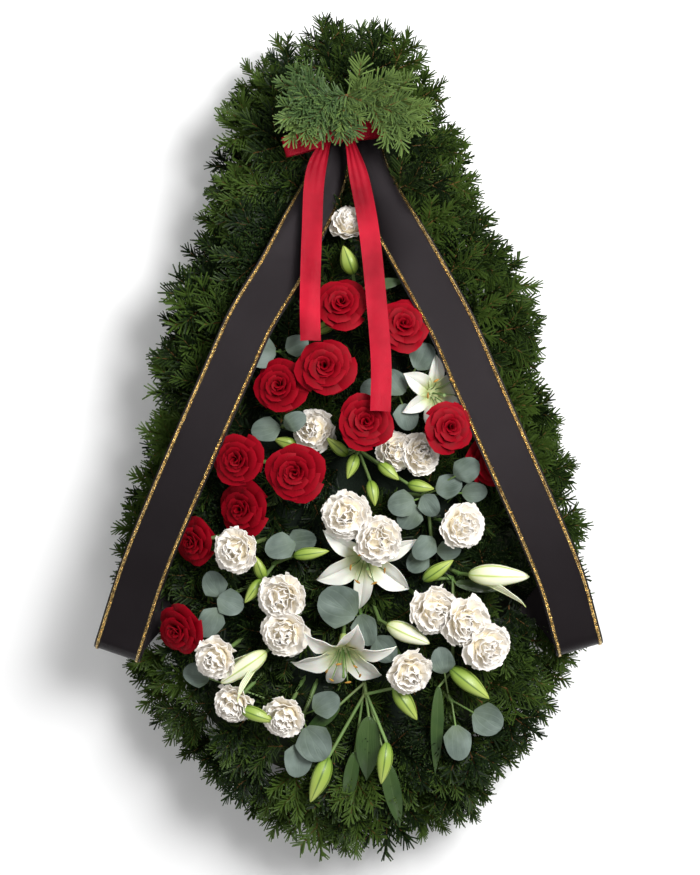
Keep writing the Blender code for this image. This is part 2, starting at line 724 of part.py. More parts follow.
def build_lily_stems(finishes, taken, cutters):
    for name, parts in LILY_STEMS.items():
        hubs, solids = hub_stems(parts["hubs"], taken, cutters, name)
        for number, (place, azimuth, pitch, length, radius) in enumerate(parts["buds"]):
            middle = Vector(place) * MM
            hub = stalk_start(hubs, middle, number)
            shape = (azimuth, pitch, length * MM, radius * MM, hub)
            tries = ([bud(middle + lifted(lift), *shape)] for lift in LIFTS)
            solids += first_clear(tries, taken, f"{name} bud {place}")
        for number, (place, azimuth, pitch, length, width) in enumerate(parts["leaves"]):
            along = compass(azimuth, pitch)
            base = Vector(place) * MM - along * length * MM / 2
            hub = stalk_start(hubs, base, number + len(parts["buds"]))
            shape = (along, UP, length * MM, width * MM, LANCE_SHAPE, -0.35, None, hub)
            tries = ([blade(base + lifted(lift), *shape)] for lift in LIFTS)
            solids += first_clear(tries, taken, f"{name} leaf {place}")
        taken[name] = surface(fuse(name, solids, finishes["lily_green"]))


def build_eucalyptus(finishes, taken, cutters):
    for name, (hub_places, leaves) in EUCALYPTUS.items():
        hubs, solids = hub_stems(hub_places, taken, cutters, name)
        for number, (x, y, z, size) in enumerate(leaves):
            middle = Vector((x, y, z)) * MM
            hub = stalk_start(hubs, middle, number % MOST_STALKS)
            plan = Vector((middle.x - hub.x, middle.y - hub.y, 0)).normalized()
            along = (plan + UP * 0.35).normalized()
            base = middle - along * size * MM * 0.5
            shape = (along, UP, size * MM, size * MM * 0.92, ROUND_SHAPE, -0.5, None, hub)
            tries = ([blade(base + lifted(lift), *shape)] for lift in LIFTS)
            solids += first_clear(tries, taken, f"{name} leaf {x},{y}")
        taken[name] = surface(fuse(name, solids, finishes["eucalyptus"]))


def fir_twig(root, way, face, length, whorls, draw, bare=14 * MM, under=True):
    """A tapered twig whose small facets are drawn out into flat, blunt needles, in pairs of whorls."""
    across = way.cross(face).normalized()
    upwards = across.cross(way).normalized()
    bm = bmesh.new()
    reaches = [-TWIG_SUNK]
    for whorl in range(whorls):
        reach = bare + (length - 7 * MM - bare) * whorl / (whorls - 1)
        reaches += [reach - NEEDLE_FOOT, reach]
    previous = None
    for i, reach in enumerate(reaches):
        size = TWIG_RADIUS * (1.0 - 0.45 * max(reach, 0.0) / length)
        bow = upwards * length * 0.08 * (reach / length) ** 2
        ring = circle(root + way * reach + bow, across, upwards, size, 3, math.pi / 2)
        verts = [bm.verts.new(point) for point in ring]
        if previous is None:
            bm.faces.new(verts)
        elif i % 2 == 0:
            needle_ring(bm, previous, verts, way, upwards, draw, under)
        else:
            skin(bm, previous, verts)
        previous = verts
    tip = bm.verts.new(root + way * length + upwards * length * 0.09)
    skin(bm, previous, [tip])
    bmesh.ops.recalc_face_normals(bm, faces=bm.faces)
    return bm


def needle_ring(bm, low, high, way, upwards, draw, under):
    """Six needles, two from each side of the twig; none below where it lies on its bough."""
    for i in range(3):
        j = (i + 1) % 3
        if i == 1 and not under:
            bm.faces.new((low[i], low[j], high[j]))
            bm.faces.new((low[i], high[j], high[i]))
            continue
        halves = ((low[i], low[j], high[j]), (low[i], high[j], high[i]))
        for corners, lean, twist in zip(halves, (0.45, 0.85), (0.45, -0.45)):
            middle = sum((corner.co for corner in corners), Vector()) / 3
            axis = (low[0].co + low[1].co + low[2].co) / 3
            out = middle - axis
            out = (out - way * out.dot(way)).normalized()
            turned = Matrix.Rotation(twist + draw.uniform(-0.06, 0.06), 3, way) @ out
            lifted_way = (turned + way * lean + upwards * 0.15).normalized()
            apex = bm.verts.new(middle + lifted_way * NEEDLE_LENGTH * draw.uniform(0.9, 1.05))
            for a, b in zip(corners, corners[1:] + corners[:1]):
                bm.faces.new((a, b, apex))


def core_section(outline, share, draw=None):
    """The core across the rim; between a bough's ends its outer side is uneven."""
    edge, out = walk(outline, share)
    section = []
    for reach, height in CORE_PROFILE:
        if draw and (reach > CORE_SEAT[1] or (reach > CORE_SEAT[0] and height > 60)):
            reach += draw.uniform(-CORE_UNEVEN, CORE_UNEVEN)
            height += draw.uniform(-CORE_UNEVEN, CORE_UNEVEN)
        section.append(Vector((edge.x + out.x * reach * MM, edge.y + out.y * reach * MM, height * MM)))
    return section


def build_boughs(finishes, taken, spray_hole):
    """Eleven boughs round the pad, each with a core over the rim and twigs out of it."""
    outline = teardrop(PAD_LOW_Y, PAD_LOW_RADIUS, PAD_TOP_Y, PAD_TOP_RADIUS, 60)
    draw = random.Random(7)
    cores = []
    for bough in range(BOUGHS):
        stations = CORE_STATIONS if bough else TOP_CORE_STATIONS
        shares = [(bough - 0.5 + i / stations) / BOUGHS for i in range(stations + 1)]
        shares[0] += HALF_BOUGH_GAP
        shares[-1] -= HALF_BOUGH_GAP
        uneven = [None] + [draw] * (stations - 1) + [None]
        core = loft([core_section(outline, *station) for station in zip(shares, uneven)])
        cores.append(core)
        taken[f"core_{bough}"] = BVHTree.FromBMesh(core)
    for bough in range(BOUGHS):
        name = f"fir_bough_{bough + 1:02d}"
        taken.pop(f"core_{bough}")
        solids = [cores[bough]]
        for along, out_by, high, outward, rise, length in TWIGS:
            tries = []
            for attempt in range(TWIG_TRIES):
                share = (bough + along + draw.uniform(-0.06, 0.06)) / BOUGHS
                edge, out = walk(outline, share)
                drift = Vector((-out.y, out.x)) * draw.uniform(-0.45, 0.45)
                plan = out * outward + drift
                way = Vector((plan.x, plan.y, rise + 0.05 * (attempt % 4))).normalized()
                root = Vector((edge.x + out.x * out_by * MM, edge.y + out.y * out_by * MM, high * MM))
                face = UP if abs(way.z) < 0.8 else Vector((out.x, out.y, 0))
                reach = length * MM * (1 - 0.045 * attempt)
                low = high < LOW_TWIG
                tries.append([fir_twig(root, way, face, reach, 4 if low else 3, draw, under=low)])
            kept = [solid for solid in tries if not crosses(solid, taken)]
            if kept:
                solids += kept[0]
            else:
                print("no clear twig:", name, along)
        taken[name] = surface(fuse(name, solids, finishes["fir"]))
    top = bpy.data.objects["fir_bough_01"]
    boolean(top, [add("spray_hole", spray_hole, finishes["fir"])], "DIFFERENCE")


def build_top_spray(finishes, taken):
    """The paler spray over the bow, its butt in a hole in the top bough."""
    foot = Vector((*SPRAY_FOOT, CORE_PROFILE[-1][1])) * MM
    crown = foot + UP * SPRAY_RISE
    across, upwards = axes_round(UP)
    end = foot - UP * (SPRAY_SUNK - GAP)
    draw = random.Random(3)
    solids = [loft([circle(point, across, upwards, STEM_RADIUS, STEM_SIDES) for point in (crown, end)])]
    for drop, azimuth, pitch, length in TOP_TWIGS:
        root = crown - UP * drop * MM
        tries = (
            [fir_twig(root, compass(azimuth, pitch + lift), UP, length * MM, 3, draw, 27 * MM)]
            for lift in (0, 6, 12, 18)
        )
        solids += first_clear(tries, taken, f"top spray {azimuth}")
    taken["fir_top_spray"] = surface(fuse("fir_top_spray", solids, finishes["fir_pale"]))
    ends = (foot + UP * 4 * MM, foot - UP * SPRAY_SUNK)
    return loft([circle(point, across, upwards, HOLE_RADIUS, STEM_SIDES) for point in ends])


def main():
    for thing in list(bpy.data.objects):
        bpy.data.objects.remove(thing)
    finishes = {
        "pad": material("pad", (0.10, 0.12, 0.06), 0.95),
        "foam": material("foam", (0.05, 0.16, 0.07), 0.95),
        "fir": material("fir", (0.03, 0.09, 0.03), 0.6),
        "fir_pale": material("fir_pale", (0.14, 0.24, 0.12), 0.6),
        "rose": material("rose", (0.45, 0.0, 0.02), 0.5),
        "carnation": material("carnation", (0.85, 0.82, 0.76), 0.7),
        "lily": material("lily", (0.88, 0.88, 0.82), 0.45),
        "white_bud": material("white_bud", (0.80, 0.82, 0.62), 0.45),
        "lily_green": material("lily_green", (0.25, 0.38, 0.08), 0.4),
        "eucalyptus": material("eucalyptus", (0.22, 0.32, 0.26), 0.6),
        "ribbon": material("ribbon", (0.03, 0.028, 0.03), 0.45),
        "satin": material("satin", (0.50, 0.01, 0.03), 0.3),
    }
    taken, cutters = {}, []
    build_pad(finishes)
    build_heads(finishes, taken, cutters)
    build_band("mourning_ribbon_left", LEFT_BAND, -1, finishes, taken)
    build_band("mourning_ribbon_right", RIGHT_BAND, 1, finishes, taken)
    build_bow(finishes, taken)
    build_lilies(finishes, taken, cutters)
    build_large_buds(finishes, taken, cutters)
    build_lily_stems(finishes, taken, cutters)
    build_eucalyptus(finishes, taken, cutters)
    spray_hole = build_top_spray(finishes, taken)
    build_boughs(finishes, taken, spray_hole)
    build_foam(finishes, cutters)


main()
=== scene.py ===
# %% [markdown]
# # Dressing a funeral arrangement
#
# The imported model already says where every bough, flower, leaf and ribbon lies. Here each of its plain
# solids gets the piece that a florist would see: boughs of flat fir needles, velvety roses, frilled
# carnations, waxy lilies, powdery eucalyptus, two black mourning ribbons edged in gold and a red bow.
# The arrangement lies on its back, so X runs to the viewer's right, Y to the bow and Z out of the flowers.

# %% Load the frame
import math
import random

import bpy
import numpy as np
from mathutils import Matrix, Vector
from mathutils.bvhtree import BVHTree


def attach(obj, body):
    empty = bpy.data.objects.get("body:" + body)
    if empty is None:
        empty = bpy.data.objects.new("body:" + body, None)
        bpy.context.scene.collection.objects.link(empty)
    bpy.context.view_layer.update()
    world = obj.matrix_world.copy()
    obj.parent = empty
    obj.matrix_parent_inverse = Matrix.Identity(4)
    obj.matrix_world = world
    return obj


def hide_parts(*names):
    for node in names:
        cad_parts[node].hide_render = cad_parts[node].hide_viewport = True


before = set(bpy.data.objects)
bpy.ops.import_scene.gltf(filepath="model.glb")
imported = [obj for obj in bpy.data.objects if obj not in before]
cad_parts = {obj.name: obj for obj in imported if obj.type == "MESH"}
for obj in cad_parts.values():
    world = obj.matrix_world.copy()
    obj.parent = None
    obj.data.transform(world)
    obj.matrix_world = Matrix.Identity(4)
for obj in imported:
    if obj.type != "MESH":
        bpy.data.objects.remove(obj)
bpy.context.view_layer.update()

MM = 0.001
UP = Vector((0, 0, 1))
bpy.ops.object.select_all(action="DESELECT")

# %% [markdown]
# ## Shapes that are made once and laid many times
#
# A fir bough has thousands of needles. Thousands of objects would be slow, so a needle is modelled once
# with ordinary operators, read into lists of points and triangles, and copied by moving those points.
# Each corner of a triangle keeps a place on a pattern, which the materials read: how far along a petal it
# is, or how dark its needle is.

# %% A shape and how it is read from a modelled object
class Shape:
    """Points, triangles, a pattern place at each corner, and which finish each triangle has."""

    def __init__(self, points, corners, pattern, finish):
        self.points, self.corners, self.pattern, self.finish = points, corners, pattern, finish


def shape_of(made, finish=0):
    """Read an object with its modifiers into a shape, and remove the object."""
    bpy.context.view_layer.update()
    mesh = bpy.data.meshes.new_from_object(made.evaluated_get(bpy.context.evaluated_depsgraph_get()))
    mesh.calc_loop_triangles()
    count = len(mesh.loop_triangles)
    points = np.empty(len(mesh.vertices) * 3)
    corners, loops = np.empty(count * 3, int), np.empty(count * 3, int)
    mesh.vertices.foreach_get("co", points)
    mesh.loop_triangles.foreach_get("vertices", corners)
    mesh.loop_triangles.foreach_get("loops", loops)
    places = np.zeros(len(mesh.loops) * 2)
    if mesh.uv_layers:
        mesh.uv_layers[0].data.foreach_get("uv", places)
    pattern = places.reshape(-1, 2)[loops].reshape(-1, 3, 2)
    turn = np.array(made.matrix_world)
    points = points.reshape(-1, 3) @ turn[:3, :3].T + turn[:3, 3]
    old = made.data
    bpy.data.objects.remove(made)
    bpy.data.meshes.remove(mesh)
    bpy.data.meshes.remove(old)
    return Shape(points, corners.reshape(-1, 3), pattern, np.full(count, finish))


def copies(shape, places, tones=None):
    """The same shape laid at each of many places, each copy with its own tone on the pattern."""
    turns = np.array([list(map(list, place)) for place in places])
    count, size = len(turns), len(shape.points)
    points = np.einsum("kij,nj->kni", turns[:, :3, :3], shape.points) + turns[:, None, :3, 3]
    corners = shape.corners[None] + (np.arange(count) * size)[:, None, None]
    pattern = np.repeat(shape.pattern[None], count, axis=0)
    if tones is not None:
        pattern[..., 0] += np.array(tones)[:, None, None]
    return Shape(
        points.reshape(-1, 3), corners.reshape(-1, 3), pattern.reshape(-1, 3, 2), np.tile(shape.finish, count)
    )


def joined(shapes):
    """Several shapes as one."""
    starts = np.cumsum([0] + [len(shape.points) for shape in shapes[:-1]])
    return Shape(
        np.concatenate([shape.points for shape in shapes]),
        np.concatenate([shape.corners + start for shape, start in zip(shapes, starts)]),
        np.concatenate([shape.pattern for shape in shapes]),
        np.concatenate([shape.finish for shape in shapes]),
    )


def framed(origin, forward, upward):
    """A place whose Y looks forward and whose Z is as near upward as it can be."""
    forward = forward.normalized()
    side = forward.cross(upward).normalized()
    top = side.cross(forward)
    return Matrix.Translation(origin) @ Matrix((side, forward, top)).transposed().to_4x4()


triangles_laid = 0


def lay(name, shape, finishes, nodes, sharp=60):
    """Make a shape one piece of the model, which stands for the CAD nodes that it is named with."""
    global triangles_laid
    mesh = bpy.data.meshes.new(name)
    mesh.from_pydata(shape.points, [], shape.corners)
    mesh.polygons.foreach_set("material_index", shape.finish)
    layer = mesh.uv_layers.new(name="pattern")
    layer.data.foreach_set("uv", shape.pattern.ravel())
    for finish in finishes:
        mesh.materials.append(finish)
    mesh.shade_smooth()
    mesh.set_sharp_from_angle(angle=math.radians(sharp))
    mesh.update()
    made = bpy.data.objects.new(name, mesh)
    bpy.context.scene.collection.objects.link(made)
    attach(made, "root")
    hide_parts(*nodes)
    triangles_laid += len(shape.corners)
    return made


# %% [markdown]
# Petals, leaves and ribbons are all thin sheets. A flat grid is added, each of its points is put where a
# formula wants it, and Solidify gives the sheet its thickness and closes it all round.

# %% A bent sheet, a tube and a smooth line
def bent_sheet(across, along, place, thickness, finish=0, offset=0.0):
    """A grid whose point at s (-1 to 1 across) and t (0 to 1 along) goes to place(s, t)."""
    bpy.ops.mesh.primitive_grid_add(x_subdivisions=across, y_subdivisions=along, size=2)
    sheet = bpy.context.object
    for vertex in sheet.data.vertices:
        vertex.co = place(vertex.co.x, (vertex.co.y + 1) / 2)
    thicken = sheet.modifiers.new("thickness", "SOLIDIFY")
    thicken.thickness, thicken.offset = thickness, offset
    return shape_of(sheet, finish)


def step_at(points, i):
    """The step along a line about one of its points."""
    return points[min(i + 1, len(points) - 1)] - points[max(i - 1, 0)]


def tube(points, radii, sides=6, finish=0):
    """A closed round stem through points."""
    points = [Vector(point) for point in points]
    rings, faces = [], []
    for i, point in enumerate(points):
        turn = step_at(points, i).normalized().to_track_quat("Z", "Y")
        for k in range(sides):
            angle = 2 * math.pi * k / sides
            rings.append(point + turn @ Vector((math.cos(angle), math.sin(angle), 0)) * radii[i])
    for i in range(len(points) - 1):
        for k in range(sides):
            a, b = i * sides + k, i * sides + (k + 1) % sides
            faces += [(a, b, b + sides), (a, b + sides, a + sides)]
    last = (len(points) - 1) * sides
    for k in range(1, sides - 1):
        faces += [(0, k + 1, k), (last, last + k, last + k + 1)]
    share = [(0.0, i // sides / (len(points) - 1)) for i in range(len(rings))]
    corners = np.array(faces)
    return Shape(np.array(rings), corners, np.array(share)[corners], np.full(len(faces), finish))


def distances(points):
    """How far along a line each of its points lies."""
    return np.cumsum([0] + [(b - a).length for a, b in zip(points, points[1:])])


def spread(points, values, count):
    """Vectors that belong to the points of a line, read off at even steps along it."""
    run = distances(points)
    table = np.array([list(value) for value in values])
    steps = np.linspace(0, run[-1], count)
    return [Vector([np.interp(step, run, table[:, k]) for k in range(3)]) for step in steps]


def smooth_line(points, count):
    """Points spread evenly along a smooth curve through the given ones."""
    points = [Vector(point) for point in points]
    ends = [points[0] * 2 - points[1]] + points + [points[-1] * 2 - points[-2]]
    fine = []
    for i in range(1, len(ends) - 2):
        a, b, c, d = ends[i - 1:i + 3]
        for step in range(24):
            t = step / 24
            fine.append(0.5 * (2 * b + (c - a) * t + (2 * a - 5 * b + 4 * c - d) * t ** 2
                               + (3 * b - a - 3 * c + d) * t ** 3))
    fine.append(points[-1])
    return spread(fine, fine, count)


# %% [markdown]
# The pieces stand where the CAD nodes are. A ray that is dropped on a node tells how high a leaf lies
# there, and the nearest point of the other nodes tells whether a twig would run into a flower.

# %% Asking the CAD nodes where they are
ABOVE_ALL = 0.4
FOAM_MIDDLE_Y, FOAM_TOP = -0.050, 0.105
trees = {}
for node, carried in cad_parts.items():
    trees[node] = BVHTree.FromPolygons(
        [vertex.co for vertex in carried.data.vertices],
        [tuple(face.vertices) for face in carried.data.polygons],
    )


def height_of(tree, x, y, otherwise):
    """How high the upper side of a node lies at x and y."""
    hit = tree.ray_cast(Vector((x, y, ABOVE_ALL)), -UP)
    return hit[0].z if hit[0] else otherwise


def foot_of(head):
    """Where the stem of a head goes into the foam, as in the CAD: a little nearer to the foam's middle."""
    return Vector((head.x * 0.70, FOAM_MIDDLE_Y + (head.y - FOAM_MIDDLE_Y) * 0.85, FOAM_TOP))


print("CAD nodes to dress:", len(trees))

# %% [markdown]
# ## Finishes
#
# Three effects turn up in many finishes, so each is a node group: an uneven mix of two colours, fine veins
# that run along a petal or leaf, and the weave of a ribbon. A group only puts out colours and heights; the
# shader itself stays in each material, where its sheen and gloss are set one by one.

# %% Shared effects
class Graph:
    """A node tree, with short ways to add nodes to it and wire them up."""

    def __init__(self, tree):
        self.nodes, self.links = tree.nodes, tree.links

    def put(self, value, socket):
        """Wire a socket to another one, or set it to a number or a colour."""
        if hasattr(value, "is_linked"):
            self.links.new(value, socket)
        else:
            socket.default_value = (*value, 1.0) if isinstance(value, tuple) else value

    def add(self, kind, **inputs):
        node = self.nodes.new(f"ShaderNode{kind}")
        for label, value in inputs.items():
            self.put(value, node.inputs[label])
        return node

    def calc(self, operation, *values):
        """One sum on numbers or sockets."""
        node = self.add("Math")
        node.operation = operation
        for socket, value in zip(node.inputs, values):
            self.put(value, socket)
        return node.outputs[0]

    def wave(self, value, count):
        """A sine with count waves in one unit of value."""
        turns = self.calc("MULTIPLY", count, 2 * math.pi)
        return self.calc("SINE", self.calc("MULTIPLY", value, turns))

    def mix(self, share, first, second):
        """A mix of two colours."""
        node = self.add("Mix")
        node.data_type = "RGBA"
        for number, value in ((0, share), (6, first), (7, second)):
            self.put(value, node.inputs[number])
        return node.outputs[2]

    def pattern(self):
        """How far across and along the pattern a point is."""
        place = self.add("UVMap")
        place.uv_map = "pattern"
        split = self.add("SeparateXYZ", Vector=place.outputs[0])
        return split.outputs[0], split.outputs[1]


def effect(name, inputs, outputs):
    """An empty node group, its graph, the sockets that it takes from and those that it gives to."""
    group = bpy.data.node_groups.new(name, "ShaderNodeTree")
    for label, value in inputs.items():
        kind = "NodeSocketColor" if isinstance(value, tuple) else "NodeSocketFloat"
        group.interface.new_socket(label, in_out="INPUT", socket_type=kind).default_value = value
    for label in outputs:
        kind = "NodeSocketColor" if label == "Colour" else "NodeSocketFloat"
        group.interface.new_socket(label, in_out="OUTPUT", socket_type=kind)
    taken, given = group.nodes.new("NodeGroupInput"), group.nodes.new("NodeGroupOutput")
    return group, Graph(group), taken.outputs, given.inputs


uneven, graph, taken, given = effect(
    "uneven_colour", {"First": (1, 1, 1, 1), "Second": (0, 0, 0, 1), "Scale": 40.0, "Sharpness": 2.0},
    ("Colour", "Height"),
)
place = graph.add("TexCoord").outputs["Object"]
cloud = graph.add("TexNoise", Detail=4, Vector=place, Scale=taken["Scale"]).outputs["Fac"]
spread_out = graph.calc("MULTIPLY", graph.calc("SUBTRACT", cloud, 0.5), taken["Sharpness"])
share = graph.add("Clamp", Value=graph.calc("ADD", spread_out, 0.5)).outputs[0]
graph.put(graph.mix(share, taken["First"], taken["Second"]), given["Colour"])
graph.put(cloud, given["Height"])

RIDGE_POWER, RIB_HALF_WIDTH = 20.0, 0.016
veined, graph, taken, given = effect("veins", {"Count": 9.0, "Fan": 0.0}, ("Height", "Mask"))
across, along = graph.pattern()
# A vein that fans out leaves the rib slanting, so its place across depends on how far along it is.
from_rib = graph.calc("ABSOLUTE", graph.calc("SUBTRACT", across, 0.5))
line = graph.calc("SUBTRACT", from_rib, graph.calc("MULTIPLY", along, taken["Fan"]))
ridge = graph.calc("POWER", graph.calc("ABSOLUTE", graph.wave(line, taken["Count"])), RIDGE_POWER)
vein = graph.calc("MAXIMUM", ridge, graph.calc("LESS_THAN", from_rib, RIB_HALF_WIDTH))
graph.put(vein, given["Mask"])
graph.put(graph.calc("MULTIPLY", vein, -1.0), given["Height"])

woven, graph, taken, given = effect("weave", {"Across": 80.0, "Along": 600.0}, ("Height", "Mask"))
across, along = graph.pattern()
warp, weft = graph.wave(across, taken["Across"]), graph.wave(along, taken["Along"])
graph.put(graph.calc("MULTIPLY", warp, weft), given["Height"])
graph.put(graph.calc("GREATER_THAN", weft, 0.2), given["Mask"])
print("effects:", [group.name for group in bpy.data.node_groups])

# %% [markdown]
# Every finish starts from a Principled shader. Roses and carnations hardly shine; satin, waxy petals and
# leaves get a soft gloss. The petals of lilies let a little light through by subsurface scattering.

# %% A finish
class Finish(Graph):
    """A material, with plain values set on its shader."""

    def __init__(self, name, roughness, **values):
        self.material = bpy.data.materials.new(name)
        self.material.use_nodes = True
        super().__init__(self.material.node_tree)
        self.shader = self.nodes["Principled BSDF"].inputs
        self.put(roughness, self.shader["Roughness"])
        for label, value in values.items():
            self.put(value, self.shader[label.replace("_", " ")])

    def use(self, group, **values):
        """What a shared effect gives out for values of its own."""
        node = self.add("Group")
        node.node_tree = group
        for label, value in values.items():
            self.put(value, node.inputs[label])
        return node.outputs

    def ramp(self, value, stops):
        """Colours along a value."""
        node = self.add("ValToRGB", Fac=value)
        elements = node.color_ramp.elements
        while len(elements) < len(stops):
            elements.new(0.5)
        for element, (at, colour) in zip(elements, stops):
            element.position, element.color = at, (*colour, 1.0)
        return node.outputs[0]

    def done(self, colour, height, depth, strength):
        """Wire up the colour, and the relief that is too fine to model."""
        self.put(colour, self.shader["Base Color"])
        relief = self.add("Bump", Strength=strength, Distance=depth, Height=height)
        self.put(relief.outputs[0], self.shader["Normal"])
        return self.material


# %% Petals
def petal_finish(name, stops, roughness, second, veins, seam=None, **values):
    """Colours from the foot of a petal to its rim, uneven, with fine veins and, on a bud, tinted seams."""
    made = Finish(name, roughness, **values)
    colour = made.ramp(made.pattern()[1], stops)
    patchy = made.use(uneven, First=colour, Second=second, Scale=55.0, Sharpness=0.9)
    mixed = made.mix(0.22, colour, patchy[0])
    vein = made.use(veined, Count=veins, Fan=0.05 if seam is None else 0.0)
    if seam is not None:
        mixed = made.mix(made.calc("MULTIPLY", vein[1], 0.9), mixed, seam)
    return made.done(mixed, vein[0], 0.0002, 0.4)


# The rose's colour falls to near black towards the foot of each petal: painted shade deep inside the bloom,
# between its petals.
rose_petal = petal_finish(
    "rose_petal", ((0.0, (0.008, 0.0, 0.001)), (0.5, (0.060, 0.0, 0.002)), (0.88, (0.18, 0.0, 0.004)),
                   (1.0, (0.31, 0.001, 0.010))),
    0.55, (0.08, 0.0, 0.002), 9.0, Specular_IOR_Level=0.07,
)
carnation_petal = petal_finish(
    "carnation_petal", ((0.0, (0.75, 0.66, 0.34)), (0.4, (0.95, 0.86, 0.66)), (0.75, (0.98, 0.93, 0.85)),
                        (1.0, (0.98, 0.95, 0.91))),
    0.9, (0.98, 0.92, 0.83), 6.0, Specular_IOR_Level=0.1,
)
lily_petal = petal_finish(
    "lily_petal", ((0.0, (0.26, 0.36, 0.05)), (0.20, (0.58, 0.62, 0.28)), (0.45, (0.78, 0.76, 0.69)),
                   (0.97, (0.82, 0.79, 0.74)), (1.0, (0.66, 0.68, 0.44))),
    0.5, (0.70, 0.70, 0.60), 8.0, Subsurface_Weight=0.15, Subsurface_Scale=0.004, Coat_Weight=0.1,
)
white_bud = petal_finish(
    "white_bud_petal", ((0.0, (0.38, 0.50, 0.10)), (0.35, (0.78, 0.80, 0.56)), (0.80, (0.86, 0.86, 0.72)),
                        (1.0, (0.58, 0.66, 0.22))),
    0.45, (0.70, 0.76, 0.42), 3.0, (0.36, 0.46, 0.06), Subsurface_Weight=0.12, Subsurface_Scale=0.004,
    Coat_Weight=0.1,
)
green_bud = petal_finish(
    "green_bud", ((0.0, (0.10, 0.21, 0.03)), (0.30, (0.24, 0.36, 0.045)), (0.78, (0.42, 0.50, 0.11)),
                  (1.0, (0.34, 0.40, 0.05))),
    0.42, (0.18, 0.30, 0.04), 3.0, (0.05, 0.11, 0.01), Coat_Weight=0.04,
)


# %% Leaves, stems and anthers
def leaf_finish(name, stops, second, veins, fan, roughness, vein_colour, vein_share, **values):
    """A leaf's colours along its blade, mottled, with its veins a little paler."""
    made = Finish(name, roughness, **values)
    colour = made.ramp(made.pattern()[1], stops)
    patchy = made.use(uneven, First=colour, Second=second, Scale=38.0, Sharpness=2.4)
    vein = made.use(veined, Count=veins, Fan=fan)
    share = made.calc("MULTIPLY", vein[1], vein_share)
    return made.done(made.mix(share, patchy[0], vein_colour), vein[0], 0.0003, 0.5)


lily_leaf = leaf_finish(
    "lily_leaf", ((0.0, (0.04, 0.085, 0.015)), (0.5, (0.018, 0.050, 0.011)), (1.0, (0.034, 0.080, 0.016))),
    (0.045, 0.085, 0.02), 7.0, 0.0, 0.3, (0.10, 0.16, 0.05), 0.4, Coat_Weight=0.1,
)
eucalyptus_leaf = leaf_finish(
    "eucalyptus_leaf",
    ((0.0, (0.11, 0.15, 0.09)), (0.5, (0.062, 0.088, 0.070)), (1.0, (0.084, 0.114, 0.094))),
    (0.16, 0.205, 0.18), 2.5, 0.30, 0.6, (0.20, 0.26, 0.20), 0.16, Sheen_Weight=0.05, Sheen_Roughness=0.5,
    Specular_IOR_Level=0.3,
)
green_stem = leaf_finish(
    "green_stem", ((0.0, (0.09, 0.20, 0.04)), (1.0, (0.16, 0.28, 0.07))),
    (0.12, 0.16, 0.05), 3.0, 0.0, 0.5, (0.2, 0.3, 0.1), 0.2,
)
anther = leaf_finish(
    "anther", ((0.0, (0.45, 0.22, 0.03)), (1.0, (0.60, 0.34, 0.05))), (0.30, 0.12, 0.02), 4.0, 0.0, 0.9,
    (0.6, 0.4, 0.1), 0.3,
)


# %% Fir
UNDERSIDE, BARK = 1.0, 3.0  # what is added to a pattern's place along, where a fir shape isn't green on top


def fir_finish(name, dark, light, young, under):
    """Needles whose tone comes from the pattern, with a paler underside and tip, on brown bark."""
    made = Finish(name, 0.45, Specular_IOR_Level=0.13)
    tone, part = made.pattern()
    colour = made.ramp(tone, ((0.0, dark), (0.75, light), (1.0, young)))
    below = made.calc("MULTIPLY", made.calc("GREATER_THAN", part, UNDERSIDE), 0.8)
    tip = made.calc("MULTIPLY", made.calc("GREATER_THAN", made.calc("FRACT", part), 0.9), 0.35)
    needle = made.mix(tip, made.mix(below, colour, under), young)
    bark = made.use(uneven, First=(0.20, 0.09, 0.03), Second=(0.09, 0.05, 0.02), Scale=400.0)
    is_bark = made.calc("GREATER_THAN", part, BARK - 0.5)
    rough = made.use(uneven, Scale=700.0)
    return made.done(made.mix(is_bark, needle, bark[0]), rough[1], 0.0002, 0.3)


fir_green = fir_finish("fir_green", (0.0013, 0.0038, 0.0016), (0.007, 0.016, 0.0045), (0.050, 0.088, 0.014),
                       (0.036, 0.052, 0.038))
fir_pale = fir_finish("fir_pale", (0.012, 0.034, 0.010), (0.058, 0.104, 0.034), (0.13, 0.20, 0.05),
                      (0.13, 0.170, 0.115))


# %% Ribbons, braid, base and foam
def cloth_finish(name, colour, second, roughness, across, along, depth, **values):
    """A woven ribbon with a soft gloss, and how many threads it has across and along."""
    made = Finish(name, roughness, **values)
    thread = made.use(woven, Across=across, Along=along)
    patchy = made.use(uneven, First=colour, Second=second, Scale=11.0, Sharpness=3.0)
    share = made.calc("MULTIPLY", thread[1], 0.25)
    return made.done(made.mix(share, patchy[0], second), thread[0], depth, 0.5)


def grainy_finish(name, roughness, first, second, scale, sharpness, depth, strength, **values):
    """Two colours in grains, the one higher than the other."""
    made = Finish(name, roughness, **values)
    grain = made.use(uneven, First=first, Second=second, Scale=scale, Sharpness=sharpness)
    return made.done(grain[0], grain[1], depth, strength)


